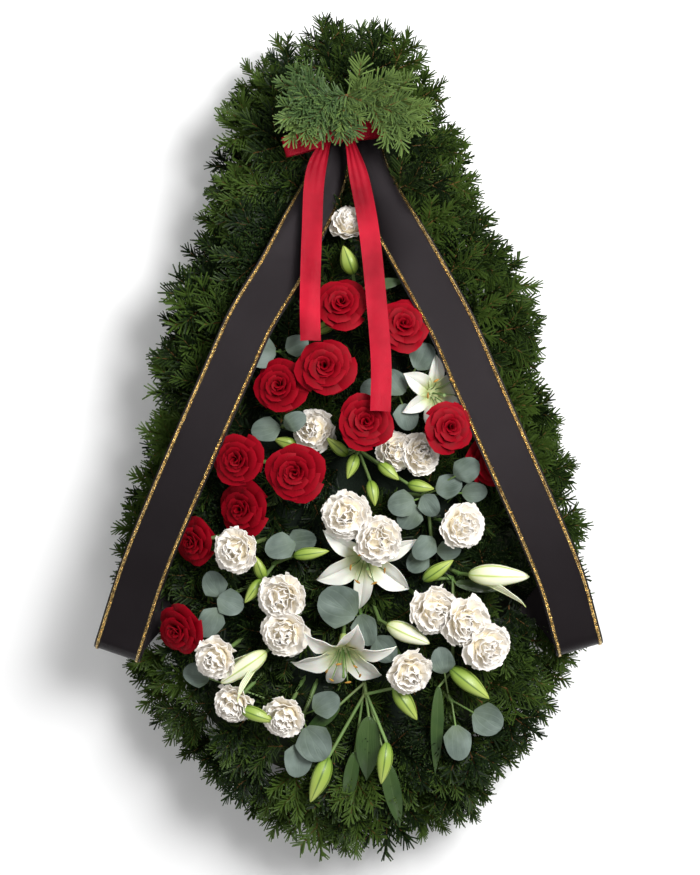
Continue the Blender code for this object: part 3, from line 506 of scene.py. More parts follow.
mourning_satin = cloth_finish(
    "mourning_satin", (0.006, 0.0047, 0.0053), (0.009, 0.0072, 0.0082), 0.32, 110.0, 900.0, 0.00012,
    Specular_IOR_Level=0.16, Specular_Tint=(1.0, 0.88, 0.93),
)
# The red satin's darker second colour, laid in broad uneven patches, is painted shade, as of folds in the
# satin.
red_satin = cloth_finish(
    "red_satin", (0.58, 0.010, 0.032), (0.20, 0.001, 0.008), 0.34, 60.0, 500.0, 0.00008,
    Specular_IOR_Level=0.2, Specular_Tint=(1.0, 0.45, 0.5),
)
gold_braid = grainy_finish(
    "gold_braid", 0.24, (1.0, 0.80, 0.42), (0.22, 0.13, 0.04), 650.0, 6.0, 0.0006, 0.9, Metallic=1.0,
)
wrapped_base = grainy_finish(
    "wrapped_base", 0.9, (0.018, 0.035, 0.012), (0.035, 0.036, 0.018), 60.0, 3.0, 0.004, 0.9,
)
soaked_foam = grainy_finish(
    "soaked_foam", 0.95, (0.006, 0.016, 0.006), (0.002, 0.007, 0.003), 900.0, 3.0, 0.0015, 0.8,
)
for node, material in (("base_pad", wrapped_base), ("floral_foam", soaked_foam)):
    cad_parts[node].material_slots[0].material = material
print("finishes:", len(bpy.data.materials))

# %% [markdown]
# ## Where everything lies
#
# The places are those of the CAD, in millimetres on the face of the arrangement. The pad's outline is two
# arcs joined by straight lines; the boughs are laid along it. The reach of the boughs was read off the
# photograph, as the corners of an outline round the green.

# %% The outline of the pad and of the green
BOUGHS = 11
PARALLEL = 1e-12
GREEN_EDGE = [Vector(point) for point in (
    (0, 545), (60, 532), (100, 490), (137, 425), (158, 350), (181, 297), (222, 230), (250, 172), (256, 110),
    (269, 47), (288, -20), (300, -78), (312, -150), (316, -203), (300, -262), (269, -316), (252, -372),
    (222, -430), (170, -486), (110, -516), (40, -534), (-40, -534), (-100, -516), (-150, -478),
    (-188, -428), (-225, -372), (-254, -316), (-280, -262), (-287, -203), (-296, -150), (-302, -100),
    (-282, -40), (-256, 47), (-256, 120), (-250, 172), (-215, 240), (-194, 297), (-182, 360),
    (-169, 422), (-130, 490), (-80, 530),
)]


def teardrop(low_radius, top_radius, low_y=-0.200, top_y=0.370, steps=60):
    """The outline round two circles on the middle line, from the top round by the right."""
    lean = math.asin((low_radius - top_radius) / (top_y - low_y))
    right = []
    for middle, radius, first, last, count in (
        (top_y, top_radius, math.pi / 2, lean, steps // 3), (low_y, low_radius, lean, -math.pi / 2, steps),
    ):
        angles = [first + (last - first) * i / count for i in range(count + 1)]
        right += [Vector((radius * math.cos(a), middle + radius * math.sin(a))) for a in angles]
    left = [Vector((-point.x, point.y)) for point in reversed(right[1:-1])]
    return right + left


def walk(outline, share):
    """The point of a closed outline at a share of its length, and the way out of it there."""
    total = sum((outline[i] - outline[i - 1]).length for i in range(len(outline)))
    left_over = (share % 1.0) * total
    for i, start in enumerate(outline):
        end = outline[(i + 1) % len(outline)]
        step = end - start
        if left_over <= step.length:
            share_of_step = left_over / step.length
            before = end - outline[i - 1]
            after = outline[(i + 2) % len(outline)] - start
            way = before.normalized().lerp(after.normalized(), share_of_step)
            return start + step * share_of_step, Vector((-way.y, way.x)).normalized()
        left_over -= step.length
    return outline[0], Vector((0, 1))


def reach_to_edge(start, way):
    """How far it is from a point to the edge of the green, in a direction, in metres."""
    found = []
    for low, high in zip(GREEN_EDGE, GREEN_EDGE[1:] + GREEN_EDGE[:1]):
        low, step = low * MM, (high - low) * MM
        across = way.x * step.y - way.y * step.x
        if abs(across) > PARALLEL:
            to_low = low - start
            along = (to_low.x * step.y - to_low.y * step.x) / across
            share = (to_low.x * way.y - to_low.y * way.x) / across
            if 0 <= share <= 1 and along > 0:
                found.append(along)
    return min(found, default=0.0)


rim = teardrop(0.240, 0.080)
print("rim of the pad:", len(rim), "corners, green edge:", len(GREEN_EDGE), "corners")


# %% [markdown]
# ## Fir
#
# A needle is a three-sided cone, pressed flat, with a blunt end. Its broad side is the glossy top; the two
# lower sides are the pale underside of a real fir needle.

# %% One needle
NEEDLE = 22 * MM
bpy.ops.mesh.primitive_cone_add(
    vertices=3, radius1=1.30 * MM, radius2=0.85 * MM, depth=NEEDLE, rotation=(math.radians(-90), 0, 0)
)
needle_object = bpy.context.object
bpy.ops.object.mode_set(mode="EDIT")
bpy.ops.mesh.select_all(action="SELECT")
bpy.ops.transform.resize(value=(1.0, 1.0, 0.45))
bpy.ops.transform.translate(value=(0, NEEDLE / 2, 0))
bpy.ops.object.mode_set(mode="OBJECT")
needle = shape_of(needle_object)
needle_corners = needle.points[needle.corners]
facing = np.cross(needle_corners[:, 1] - needle_corners[:, 0], needle_corners[:, 2] - needle_corners[:, 0])
along_needle = np.clip(needle_corners[..., 1] / NEEDLE, 0.02, 0.98)
needle.pattern[..., 1] = along_needle + UNDERSIDE * (facing[:, 2] <= 0)[:, None]
print("needle:", len(needle.corners), "triangles,", round(needle.points[:, 1].max() * 1000, 1), "mm long")

# %% [markdown]
# A twig is a thin brown stem with needles on both sides and over its top, as a fir carries them. They lean
# forward more towards its tip. A spray is one long twig with shorter ones off its sides. Six long sprays
# and four short ones are made, and each is laid many times.

# %% Twigs and sprays
NEEDLES_PER_MM = 0.77
TWIG_BEND = 0.07


def twig(start, way, upward, length, draw):
    """A stem with needles, as a shape."""
    way = way.normalized()
    side = way.cross(upward).normalized()
    top = side.cross(way)

    def along(t):
        return start + way * length * t + top * length * TWIG_BEND * t * t

    stem = tube([along(i / 4) for i in range(5)], [1.2 * MM * (1 - 0.55 * i / 4) for i in range(5)], sides=4)
    stem.pattern[..., 1] = BARK
    places, tones = [], []
    count = int(length / MM * NEEDLES_PER_MM)
    for i in range(count):
        t = (i + draw.random()) / count
        roll = math.radians(draw.uniform(20, 100)) * (1 if i % 2 else -1)
        if draw.random() < 0.12:
            roll = math.radians(draw.uniform(-30, 30))
        outward = top * math.cos(roll) + side * math.sin(roll)
        lean = math.radians(draw.uniform(48, 66) - 26 * max(0.0, t - 0.7) / 0.3)
        forward = way * math.cos(lean) + outward * math.sin(lean)
        size = draw.uniform(0.72, 1.0) * (1.0 - 0.30 * max(0.0, t - 0.75) / 0.25)
        places.append(framed(along(t), forward, top + outward * 0.35) @ Matrix.Diagonal((1, size, 1, 1)))
        tones.append(draw.uniform(0.0, 0.16) + 0.12 * max(0.0, t - 0.7) / 0.3)
    return joined([copies(needle, places, tones), stem])


def spray(draw, length, sides):
    """A long twig with side twigs, given as how far along it they leave and their share of its length."""
    ahead = Vector((0, 1, 0))
    twigs = [twig(Vector((0, 0, 0)), ahead, UP, length, draw)]
    for number, (along, reach) in enumerate(sides):
        hand = 1 if number % 2 else -1
        turn = math.radians(draw.uniform(38, 56)) * hand
        way = Vector((math.sin(turn), math.cos(turn), draw.uniform(-0.05, 0.12)))
        start = ahead * length * (along + draw.uniform(-0.03, 0.03)) + UP * length * TWIG_BEND * along ** 2
        twigs.append(twig(start, way, UP, length * reach * draw.uniform(0.9, 1.1), draw))
    return joined(twigs)


draw = random.Random(21)
sprays = [spray(draw, 0.095, ((0.20, 0.52), (0.34, 0.50), (0.52, 0.40), (0.64, 0.34))) for kind in range(6)]
sprays += [spray(draw, 0.060, ((0.22, 0.62), (0.40, 0.52))) for kind in range(4)]
LONG, SHORT = range(6), range(6, 10)
LONG_REACH, SHORT_REACH = 108, 73  # millimetres from the foot of a spray to the furthest needle
LONG_TIP, SHORT_TIP = 100, 64  # and to the tip of its stem
print("triangles in each spray:", [len(made.corners) for made in sprays])

# %% [markdown]
# The boughs are built up in layers, from low on the pad's rim to the top of it. The lower sprays hang over
# the rim and hide it. Each is stretched or shortened so that its tip ends near the edge of the green, a
# little short of it or past it, because a real edge is ragged.

# %% Sprays round the rim
LAYERS = (  # sprays to a bough, out from the rim, height, rise, and how near to the edge they end
    (6, (4, 13), (22, 46), (-0.22, 0.06), (0.82, 1.00)),
    (6, (2, 12), (46, 80), (-0.10, 0.20), (0.86, 1.08)),
    (6, (-26, 0), (80, 104), (-0.04, 0.24), (0.84, 1.06)),
    (6, (-58, -34), (104, 110), (0.06, 0.24), (0.60, 0.84)),
)
LOWER_TRIES = 8
SPRAY_POINTS = (  # share of a spray's length, and millimetres across it
    (0, 0), (0.3, 0), (0.6, 0), (1.0, 0), (0.4, -28), (0.4, 28), (0.8, -20), (0.8, 20),
)
NEEDLES_ABOVE, CLEARANCE = 0.012, 0.002
laid = {bough: [] for bough in range(BOUGHS)}
covers = ("mourning", "satin", "lily", "white", "eucalyptus")
bands = [trees[node] for node in trees if node.startswith(covers)]


def under_bands(place, reach):
    """Whether a spray stays below the ribbons, leaves and petals that it passes under."""
    for along, across in SPRAY_POINTS:
        point = place @ Vector((across * MM, reach * MM * along, NEEDLES_ABOVE))
        if any(height_of(tree, point.x, point.y, ABOVE_ALL) < point.z + CLEARANCE for tree in bands):
            return False
    return True


draw = random.Random(5)
for bough in range(BOUGHS):
    for count, out_by, heights, rises, ends in LAYERS:
        for i in range(count):
            share = (bough - 0.5 + (i + draw.uniform(0.15, 0.85)) / count) / BOUGHS
            edge, out = walk(rim, share)
            root = Vector((*(edge + out * draw.uniform(*out_by) * MM), draw.uniform(*heights) * MM))
            drift = Vector((-out.y, out.x)) * draw.uniform(-0.42, 0.42)
            flat_way = (out + drift).normalized()
            way = Vector((*flat_way, draw.uniform(*rises)))
            reach = reach_to_edge(root.xy, flat_way) * draw.uniform(*ends)
            kinds, full = (LONG, LONG_REACH) if reach > 80 * MM else (SHORT, SHORT_REACH)
            size = min(max(reach / (full * MM), 0.80), 1.20)
            upward = UP + Vector((draw.uniform(-0.3, 0.3), draw.uniform(-0.3, 0.3), 0))
            place = framed(root, way, upward) @ Matrix.Scale(size, 4)
            for lower in range(LOWER_TRIES):
                if not under_bands(place, full):
                    root.z, way.z = root.z - 4 * MM, way.z - 0.05
                    place = framed(root, way, upward) @ Matrix.Scale(size, 4)
            tone = draw.uniform(0.0, 0.5) if draw.random() < 0.8 else draw.uniform(0.6, 0.95)
            laid[bough].append((draw.choice(kinds), place, tone))
print("sprays round the rim:", sum(len(places) for places in laid.values()))

# %% [markdown]
# Shorter sprays fill the face between the flowers. Each is tried at several places and kept where its stem
# stays clear of every flower, leaf and ribbon, flatter if it has to. It goes to the bough that lies nearest.

# %% Sprays on the face
FACE_SPRAYS, FACE_TRIES, FACE_SPACING = 255, 14000, 0.017
FLOWER_CLEARANCE = 0.0045
flower_nodes = [node for node in trees if not node.startswith(("fir_bough", "base_pad", "floral_foam"))]


def clear_of_flowers(place, reach=0.060):
    """Whether the stem of a short spray keeps its distance from every flower, leaf and ribbon."""
    for t in (0.1, 0.4, 0.7, 1.0):
        point = place @ Vector((0, reach * t, 0.004))
        if any(trees[node].find_nearest(point, FLOWER_CLEARANCE)[0] for node in flower_nodes):
            return False
    return True


def bough_nearest(point, steps=220):
    """The bough whose stretch of the rim lies nearest to a point on the face."""
    best = min(range(steps), key=lambda k: (walk(rim, k / steps)[0] - point).length)
    return round(best / steps * BOUGHS) % BOUGHS


def inside(outline, point):
    """Whether a point lies within a closed outline."""
    odd = False
    for low, high in zip(outline, outline[1:] + outline[:1]):
        if (low.y > point.y) != (high.y > point.y):
            if point.x < low.x + (high.x - low.x) * (point.y - low.y) / (high.y - low.y):
                odd = not odd
    return odd


draw = random.Random(33)
face_outline = teardrop(0.205, 0.060)
roots = []
for attempt in range(FACE_TRIES):
    point = Vector((draw.uniform(-0.21, 0.21), draw.uniform(-0.42, 0.44)))
    turn = math.atan2(point.y + 0.05, point.x) + draw.uniform(-1.6, 1.6)
    size = draw.uniform(0.75, 1.05)
    root = Vector((point.x, point.y, draw.uniform(0.105, 0.118)))
    way = Vector((math.cos(turn), math.sin(turn), draw.uniform(0.0, 0.20)))
    if not inside(face_outline, point) or any((point - other).length < FACE_SPACING for other in roots):
        continue
    upward = UP + Vector((draw.uniform(-0.4, 0.4), draw.uniform(-0.4, 0.4), 0))
    for flatter in (False, True):
        if flatter:
            root.z, way.z = 104 * MM, 0.0
        place = framed(root, way, upward) @ Matrix.Scale(size, 4)
        if clear_of_flowers(place) and under_bands(place, SHORT_REACH):
            roots.append(point)
            # Sprays on the face get darker tones than those round the rim: painted shade between the flowers.
            laid[bough_nearest(point)].append((draw.choice(SHORT), place, draw.uniform(-0.1, 0.35)))
            break
    if len(roots) == FACE_SPRAYS:
        break
print("sprays on the face:", len(roots))

# %% Lay the boughs
for bough, places in laid.items():
    shapes = [copies(sprays[kind], [place], [tone]) for kind, place, tone in places]
    name = f"fir_bough_{bough + 1:02d}"
    made = lay(f"{name}_needles", joined(shapes), [fir_green], [name], sharp=30)
    print(name, len(places), "sprays", len(made.data.polygons), "triangles")

# %% [markdown]
# A paler spray is stuck in last and hides the place where the bow and both ribbons are pinned. Its short
# woody stem goes down into the top bough.

# %% The pale spray over the bow
def compass(azimuth, pitch):
    """A direction from its angle on the face, from +X towards +Y, and its rise, in degrees."""
    turn, rise = math.radians(azimuth), math.radians(pitch)
    return Vector((math.cos(turn) * math.cos(rise), math.sin(turn) * math.cos(rise), math.sin(rise)))


CROWN = Vector((-4, 420, 172)) * MM
PALE_TWIGS = (  # right of, above and below the crown, direction in degrees, rise, length
    (0, 0, 2, -158, 4, 92), (0, 0, 9, -120, 2, 66), (0, 0, 16, -80, 2, 52), (0, 0, 12, -8, 4, 100),
    (0, 0, 20, 170, 8, 90), (0, 0, 0, -176, 6, 84), (0, 0, 3, -20, 4, 92), (0, 0, 6, -100, 6, 48),
    (0, 0, 8, -140, 6, 72), (-42, -10, 2, -122, -4, 58), (54, -12, 2, -74, -4, 58), (70, -14, 0, -40, -2, 44),
    (0, 0, 4, 24, 6, 62),
)
draw = random.Random(8)
shapes = []
for right, above, drop, azimuth, rise, length in PALE_TWIGS:
    kinds, full = (LONG, LONG_TIP) if length > 74 else (SHORT, SHORT_TIP)
    root = CROWN + Vector((right, above, -drop)) * MM
    place = framed(root, compass(azimuth, rise), UP) @ Matrix.Scale(length / full, 4)
    shapes.append(copies(sprays[draw.choice(kinds)], [place], [draw.uniform(0.0, 0.7)]))
stalk = tube([CROWN - UP * 86 * MM, CROWN - UP * 40 * MM, CROWN], [2.6 * MM, 2.6 * MM, 1.8 * MM])
stalk.pattern[..., 1] = BARK
lay("fir_top_spray_needles", joined(shapes + [stalk]), [fir_pale], ["fir_top_spray"], sharp=30)
print("pale spray:", len(PALE_TWIGS), "twigs")

# %% [markdown]
# ## Roses
#
# A rose is a spiral: each petal starts a golden angle past the one before. The first ones wrap tightly
# round the middle and stand high, and the last lie open and roll their rims outward. One petal formula
# makes them all. Three roses are made and turned, so that no two in the arrangement look the same.

# %% Where the heads are
ROSES = (  # right, up, height of the middle and radius, in millimetres
    (-11, 163, 160, 30), (64, 137, 160, 30), (-30, 86, 176, 31), (-85, 62, 158, 31),
    (19, 19, 182, 30), (120, 12, 177, 28), (-136, -28, 174, 30), (-66, -43, 180, 32),
    (-131, -88, 148, 30), (-190, -129, 146, 27), (-209, -237, 146, 29), (171, -31, 134, 27),
)
CARNATIONS = {
    "carnation_01": ((0, 267, 140, 25),),
    "carnation_02": ((-46, 9, 146, 27),),
    "carnations_03_04": ((57, -16, 144, 26), (88, -21, 148, 27)),
    "carnations_05_06": ((-5, -95, 177, 31), (35, -126, 179, 31)),
    "carnation_07": ((139, -109, 166, 30),),
    "carnation_08": ((-141, -138, 182, 29),),
    "carnations_09_10": ((-85, -197, 170, 31), (-81, -241, 169, 31)),
    "carnation_11": ((-166, -272, 174, 27),),
    "carnations_12_13": ((-145, -330, 158, 26), (-82, -346, 160, 28)),
    "carnations_14_16": ((104, -214, 168, 31), (143, -228, 169, 33), (170, -258, 167, 32)),
    "carnation_17": ((74, -291, 166, 29),),
}


def settled(head, spin, height):
    """Where a head goes, its middle, and its axis, which leans between its stem's way and straight up."""
    middle, radius = Vector(head[:3]) * MM, head[3] * MM
    axis = (middle - foot_of(middle)).normalized().lerp(UP, 0.35).normalized()
    side = axis.orthogonal().normalized()
    turned = Matrix((side, axis.cross(side), axis)).transposed().to_4x4()
    turned = Matrix.Translation(middle) @ turned @ Matrix.Rotation(spin, 4, "Z")
    return turned @ Matrix.Diagonal((radius, radius, height, 1)), middle, axis


def head_stem(middle, axis, drop):
    """A green stem that curves from a head down to its place in the foam."""
    foot = foot_of(middle)
    neck = middle - axis * drop
    line = smooth_line([neck, neck.lerp(foot, 0.5) - axis * 4 * MM, foot, foot - UP * 14 * MM], 7)
    return tube(line, [3.0 * MM] + [2.6 * MM] * 6, finish=1)


# %% Three roses
GOLDEN_ANGLE = 2.39996


def rose(draw, count=27):
    """A rose of radius 1 and height 1, its middle at the origin."""
    shapes = []
    for i in range(count):
        f = i / (count - 1)
        turn = i * GOLDEN_ANGLE + draw.uniform(-0.15, 0.15)
        half = 2.0 - 1.15 * f ** 0.7
        rim, foot = 0.07 + 0.88 * f ** 1.15, 0.03 + 0.28 * f
        top = 0.50 - 0.34 * f ** 1.8 + draw.uniform(-0.05, 0.05)
        curl = 0.26 * f ** 0.8 + draw.uniform(0.0, 0.10)
        wobble, pinch = draw.uniform(0, 6.28), draw.uniform(0.02, 0.08)

        def place(s, t):
            angle = turn + s * half * (0.55 + 0.45 * min(1.0, t * 1.6))
            rolled = max(0.0, t - 0.74) / 0.26
            reach = foot + (rim - foot) * t ** (1.1 + 1.2 * f)
            reach += curl * rolled ** 1.6 * (1 - 0.4 * abs(s)) + 0.035 * s
            reach += 0.035 * math.sin(2.6 * s + wobble) * t
            high = -0.5 + (top + 0.5) * (1 - (1 - t) ** 1.5)
            high -= (top + 0.5) * 0.26 * abs(s) ** 2.6 * t
            high -= curl * 0.55 * rolled ** 2 - pinch * rolled * (1 - s * s)
            return Vector((reach * math.cos(angle), reach * math.sin(angle), high))

        shapes.append(bent_sheet(6, 7, place, 0.016))
    return joined(shapes)


draw = random.Random(4)
roses = [rose(draw) for kind in range(3)]
for i, head in enumerate(ROSES):
    place, middle, axis = settled(head, 2.4 * i + 0.5, 34 * MM)
    shapes = [copies(roses[i % 3], [place]), head_stem(middle, axis, 15 * MM)]
    name = f"rose_{i + 1:02d}"
    lay(f"{name}_bloom", joined(shapes), [rose_petal, green_stem], [name])
print("roses:", len(ROSES), "with", len(roses[0].corners), "triangles each")

# %% [markdown]
# ## Buds
#
# A lily bud is a spindle with three broad petals folded over three narrow ones, so it has ribs with seams
# between them. A ball is drawn out along its length, and each of its points is pulled in at the seams.

# %% A ribbed bud
def spindle(middle, way, length, radius, finish, opened=0.0, segments=24, rings=14):
    """A bud about a middle point. Opened, its tip parts a little."""
    bpy.ops.mesh.primitive_uv_sphere_add(segments=segments, ring_count=rings, radius=1)
    ball = bpy.context.object
    for vertex in ball.data.vertices:
        t = (vertex.co.z + 1) / 2
        angle = math.atan2(vertex.co.y, vertex.co.x)
        wide = math.sin(math.pi * t ** 0.82) ** 0.72 * (1 - 0.16 * t) + 0.06 * (1 - t)
        seam = 1 - 0.11 * abs(math.cos(1.5 * angle)) ** 7
        seam -= 0.045 * abs(math.cos(1.5 * angle + 0.79)) ** 9
        parted = 1 + opened * max(0.0, t - 0.72) * 3.0 * (0.4 + abs(math.sin(1.5 * angle)))
        reach = radius * wide * seam * parted
        bend = length * 0.05 * math.sin(math.pi * t)
        along = length * (t - 0.5 + opened * 0.12 * max(0.0, t - 0.8) * abs(math.sin(1.5 * angle)))
        vertex.co = Vector((reach * math.cos(angle), along, reach * math.sin(angle) + bend))
    made = shape_of(ball, finish)
    return copies(made, [framed(middle, way, UP)])


# %% [markdown]
# ## Carnations
#
# A carnation's petals are fans that stand in a tight tuft. Each is ruffled like a gathered cloth, and its
# rim is cut in small teeth. The inner fans stand up and the outer ones lie nearly flat.

# %% Three carnations
CARNATION_RINGS = (  # petals in a ring, tilt from the axis in degrees, reach, half width
    (6, 92, 1.00, 0.66), (6, 72, 0.96, 0.58), (6, 52, 0.91, 0.50), (5, 34, 0.86, 0.42), (3, 14, 0.78, 0.36),
)


def carnation(draw):
    """A carnation of radius 1 and height 1, its middle at the origin."""
    shapes = []
    for ring, (count, lean, reach, broad) in enumerate(CARNATION_RINGS):
        for i in range(count):
            turn = 2 * math.pi * (i + 0.37 * ring + draw.uniform(-0.14, 0.14)) / count
            tilt = math.radians(lean + draw.uniform(-7, 7))
            out = Vector((math.cos(turn), math.sin(turn), 0))
            side = Vector((-out.y, out.x, 0))
            base = Vector((0, 0, -0.46)) + out * 0.05
            tip = out * math.sin(tilt) * reach * draw.uniform(0.90, 1.04)
            way = tip + UP * (-0.16 + 0.66 * math.cos(tilt)) - base
            normal = side.cross(way).normalized()
            ruffles, phase = draw.choice((2.0, 2.4, 2.8)), draw.uniform(0, 6.28)
            deep, wide = draw.uniform(0.040, 0.070), broad * draw.uniform(0.9, 1.12)
            bend, slant = draw.uniform(0.04, 0.16), draw.uniform(-0.16, 0.16)

            def place(s, t):
                tooth = (1 if round((s + 1) * 6) % 2 else -1) * 0.016 * (1 if t > 0.98 else 0)
                far = t * (1 - 0.16 * s * s) + tooth
                fan = s * wide * (0.12 + 0.88 * t ** 0.8)
                wave = deep * math.sin(ruffles * math.pi * s + phase) * t ** 3 + slant * s * t * t
                return base + way * far + side * fan + normal * (wave - bend * t ** 3)

            shapes.append(bent_sheet(12, 5, place, 0.014))
    # A real head is packed with petals to its middle; a small core fills what can't be seen into.
    bpy.ops.mesh.primitive_uv_sphere_add(segments=16, ring_count=10, radius=0.5, location=(0, 0, -0.14))
    core = bpy.context.object
    core.scale = (1, 1, 0.62)
    core = shape_of(core)
    core.pattern[..., 1] = 0.4
    return joined(shapes + [core])


draw = random.Random(9)
carnations = [carnation(draw) for kind in range(3)]
number = 0
for name, heads in CARNATIONS.items():
    shapes = []
    for head in heads:
        place, middle, axis = settled(head, 1.7 * number, 36 * MM)
        shapes += [copies(carnations[number % 3], [place]), head_stem(middle, axis, 28 * MM)]
        calyx = [middle - axis * far * MM for far in (10, 16, 24, 31)]
        shapes.append(tube(calyx, [6 * MM, 7 * MM, 6 * MM, 3 * MM], sides=8, finish=1))
        number += 1
    if name == "carnations_12_13":
        low, high = (Vector(head[:3]) * MM for head in heads)
        between = (low + high) / 2 + Vector((0, -4, 2)) * MM
        shapes.append(spindle(between, compass(-20, 2), 46 * MM, 9.5 * MM, 2))
    lay(f"{name}_bloom", joined(shapes), [carnation_petal, green_stem, green_bud], [name])
print("carnations:", number, "with", len(carnations[0].corners), "triangles each")

# %% [markdown]
# ## Lilies
#
# Three lilies are open. Each has three broad petals and three narrow ones between them, with a groove along
# the middle, a wavy rim and a tip that rolls back. Six stamens with orange anthers and a pistil stand in the
# throat. Where a petal would run into a flower beside it, it is tried more open, then shorter.

# %% Blades
LILIES = {  # throat, the way it faces, and its petals' length and width
    "lily_middle": ((20, -150, 142), (0.05, -0.35, 0.93), 66, 26),
    "lily_lower": ((-8, -264, 156), (0.0, -0.78, 0.62), 66, 28),
    "lily_upper": ((104, 55, 140), (0.35, -0.10, 0.93), 46, 22),
}
PETAL_TRIES = (  # how much more open, and share of the length
    (0, 1.0), (1, 1.0), (-1, 0.9), (0, 0.85), (2, 0.9), (0, 0.7), (1, 0.7), (0, 0.55), (1, 0.4),
)


def bent(base, along, face, length, curl):
    """The middle line of a blade that curls back from its face, and its frame at each share of it."""
    side = along.cross(face).normalized()
    face = side.cross(along).normalized()

    def at(t):
        angle = curl * t
        if abs(curl) < 0.01:
            return base + along * length * t, side, face
        ahead, rise = math.sin(angle) / curl, (1 - math.cos(angle)) / curl
        point = base + length * (ahead * along + rise * face)
        return point, side, face * math.cos(angle) - along * math.sin(angle)

    return at


def lily_blade(base, along, face, length, width, curl, draw):
    """A lily's petal, grooved along its middle, with a wavy rim and a tip that rolls back."""
    at = bent(base, along, face, length, curl)
    phase, waves = draw.uniform(0, 6.28), draw.uniform(1.6, 2.4)

    def place(s, t):
        point, side, up = at(t)
        broad = 0.26 + 0.74 * math.sin(math.pi * min(1.0, t / 0.98) ** 0.85) ** 0.75
        half = width / 2 * broad * (1 - t ** 7)
        groove = -0.20 * (1 - min(1.0, abs(s) / 0.16)) + 0.36 * s * s
        frill = 0.10 * math.sin(waves * math.pi * 2 * t + phase + (1.5 if s > 0 else 0)) * abs(s) ** 2
        roll = -0.8 * max(0.0, t - 0.8) ** 2 / 0.04 * 0.12
        return point + side * half * s + up * (half * (groove + frill) + length * roll * 0.3)

    return bent_sheet(10, 14, place, 0.9 * MM)


# %% Open lilies
in_the_way = [
    node for node in trees if node.startswith(("rose", "carnation", "mourning", "satin")) or node in LILIES
]


def first_clear(tries, own):
    """The first of several shapes that crosses no flower or ribbon but its own; the last where all do."""
    for made in tries:
        tree = BVHTree.FromPolygons([Vector(p) for p in made.points], made.corners.tolist())
        if not any(tree.overlap(trees[node]) for node in in_the_way if node != own):
            return made
    return made


for name, (place, look, length, width) in LILIES.items():
    throat, facing = Vector(place) * MM, Vector(look).normalized()
    turned = facing.to_track_quat("Z", "Y")
    across, upwards = turned @ Vector((1, 0, 0)), turned @ Vector((0, 1, 0))
    base, heart = throat - facing * 24 * MM, throat - facing * 8 * MM
    cup_line = [base, base.lerp(throat, 0.5), throat - facing * 2 * MM]
    cup = tube(cup_line, [4.2 * MM, 6.6 * MM, 8.5 * MM], 12)
    cup.pattern[..., 1] *= 0.12
    shapes = [cup, head_stem(base, facing, 0.0)]

    def outward(sixths):
        angle = 2 * math.pi * sixths / 6
        return math.cos(angle) * across + math.sin(angle) * upwards

    for i in range(6):
        out = outward(i + 0.25)
        root = throat - facing * 5 * MM + out * 5.5 * MM
        broad = width * (1.22 if i % 2 else 0.92) * MM
        tries = (
            lily_blade(root, (facing * (0.75 + 0.3 * opened) + out).normalized(), facing, length * MM * share,
                       broad, -0.95 + 0.25 * opened, random.Random(i))
            for opened, share in PETAL_TRIES
        )
        shapes.append(first_clear(tries, name))
    for i in range(6):
        out = outward(i + 0.75)
        line = [heart + (facing * 40 * t + out * (4 + 17 * t ** 1.5)) * MM for t in (0, 0.5, 1)]
        shapes.append(tube(smooth_line(line, 6), [0.7 * MM] * 6, 5, 1))
        shapes.append(spindle(line[-1], out.cross(facing), 9 * MM, 1.5 * MM, 2, 0.0, 8, 6))
    style = [heart + facing * 48 * t * MM + upwards * 3 * t * t * MM for t in (0, 0.5, 1)]
    shapes.append(tube(smooth_line(style, 6), [1.2 * MM] * 5 + [2.0 * MM], 6, 1))
    lay(f"{name}_flower", joined(shapes), [lily_petal, green_stem, anther], [name])
print("open lilies:", len(LILIES))

# %% [markdown]
# Three large white buds are about to open. On two of them a petal has already bent away from the rest.

# %% Large white buds
LARGE_BUDS = {  # middle, direction of the tip, pitch, length and radius
    "white_bud_left": ((-131, -283, 160), 214, 6, 68, 13),
    "white_bud_middle": ((72, -243, 152), -24, 4, 58, 13),
    "white_bud_right": ((184, -171, 150), -2, 2, 76, 15),
}


def stalk_to(hub, end, radius=2.0 * MM):
    """A stalk from a stem out to a bud or leaf, sagging a little."""
    middle = hub.lerp(end, 0.5) - UP * 2 * MM
    return tube(smooth_line([hub, middle, end], 6), [radius] * 6, 6, 1)


OPENED = {  # how far the tip has parted, and where round the bud a petal has bent away
    "white_bud_left": (0.5, (150, -60)), "white_bud_middle": (0.15, ()), "white_bud_right": (0.2, (70,)),
}
draw = random.Random(14)
for name, (place, azimuth, pitch, length, radius) in LARGE_BUDS.items():
    middle, way = Vector(place) * MM, compass(azimuth, pitch)
    hub = middle - way * (length / 2 + 10) * MM - UP * 14 * MM
    opened, loose = OPENED[name]
    shapes = [spindle(middle, way, length * MM, radius * MM, 0, opened)]
    shapes += [stalk_to(hub, middle - way * (length / 2 - 2) * MM, 2.2 * MM), head_stem(hub, UP, 0.0)]
    for roll in loose:
        turn = math.radians(roll)
        side = way.cross(UP).normalized()
        out = side * math.sin(turn) + side.cross(way) * math.cos(turn)
        root = middle - way * length * 0.36 * MM + out * radius * 0.45 * MM
        along = (way + out * 0.34).normalized()
        shapes.append(lily_blade(root, along, -out, length * 0.92 * MM, 17 * MM, -0.25, draw))
    lay(f"{name}_petals", joined(shapes), [white_bud, green_stem], [name])
print("large buds:", len(LARGE_BUDS))

# %% [markdown]
# ## Stems of lilies
#
# Five lily stems carry small green buds and long glossy leaves. A leaf is a blade folded a little along its
# middle. Where the CAD had to lift a bud or leaf clear of its neighbours, the ray that is dropped on the
# CAD node finds how high it lies, and the finer piece is put there.

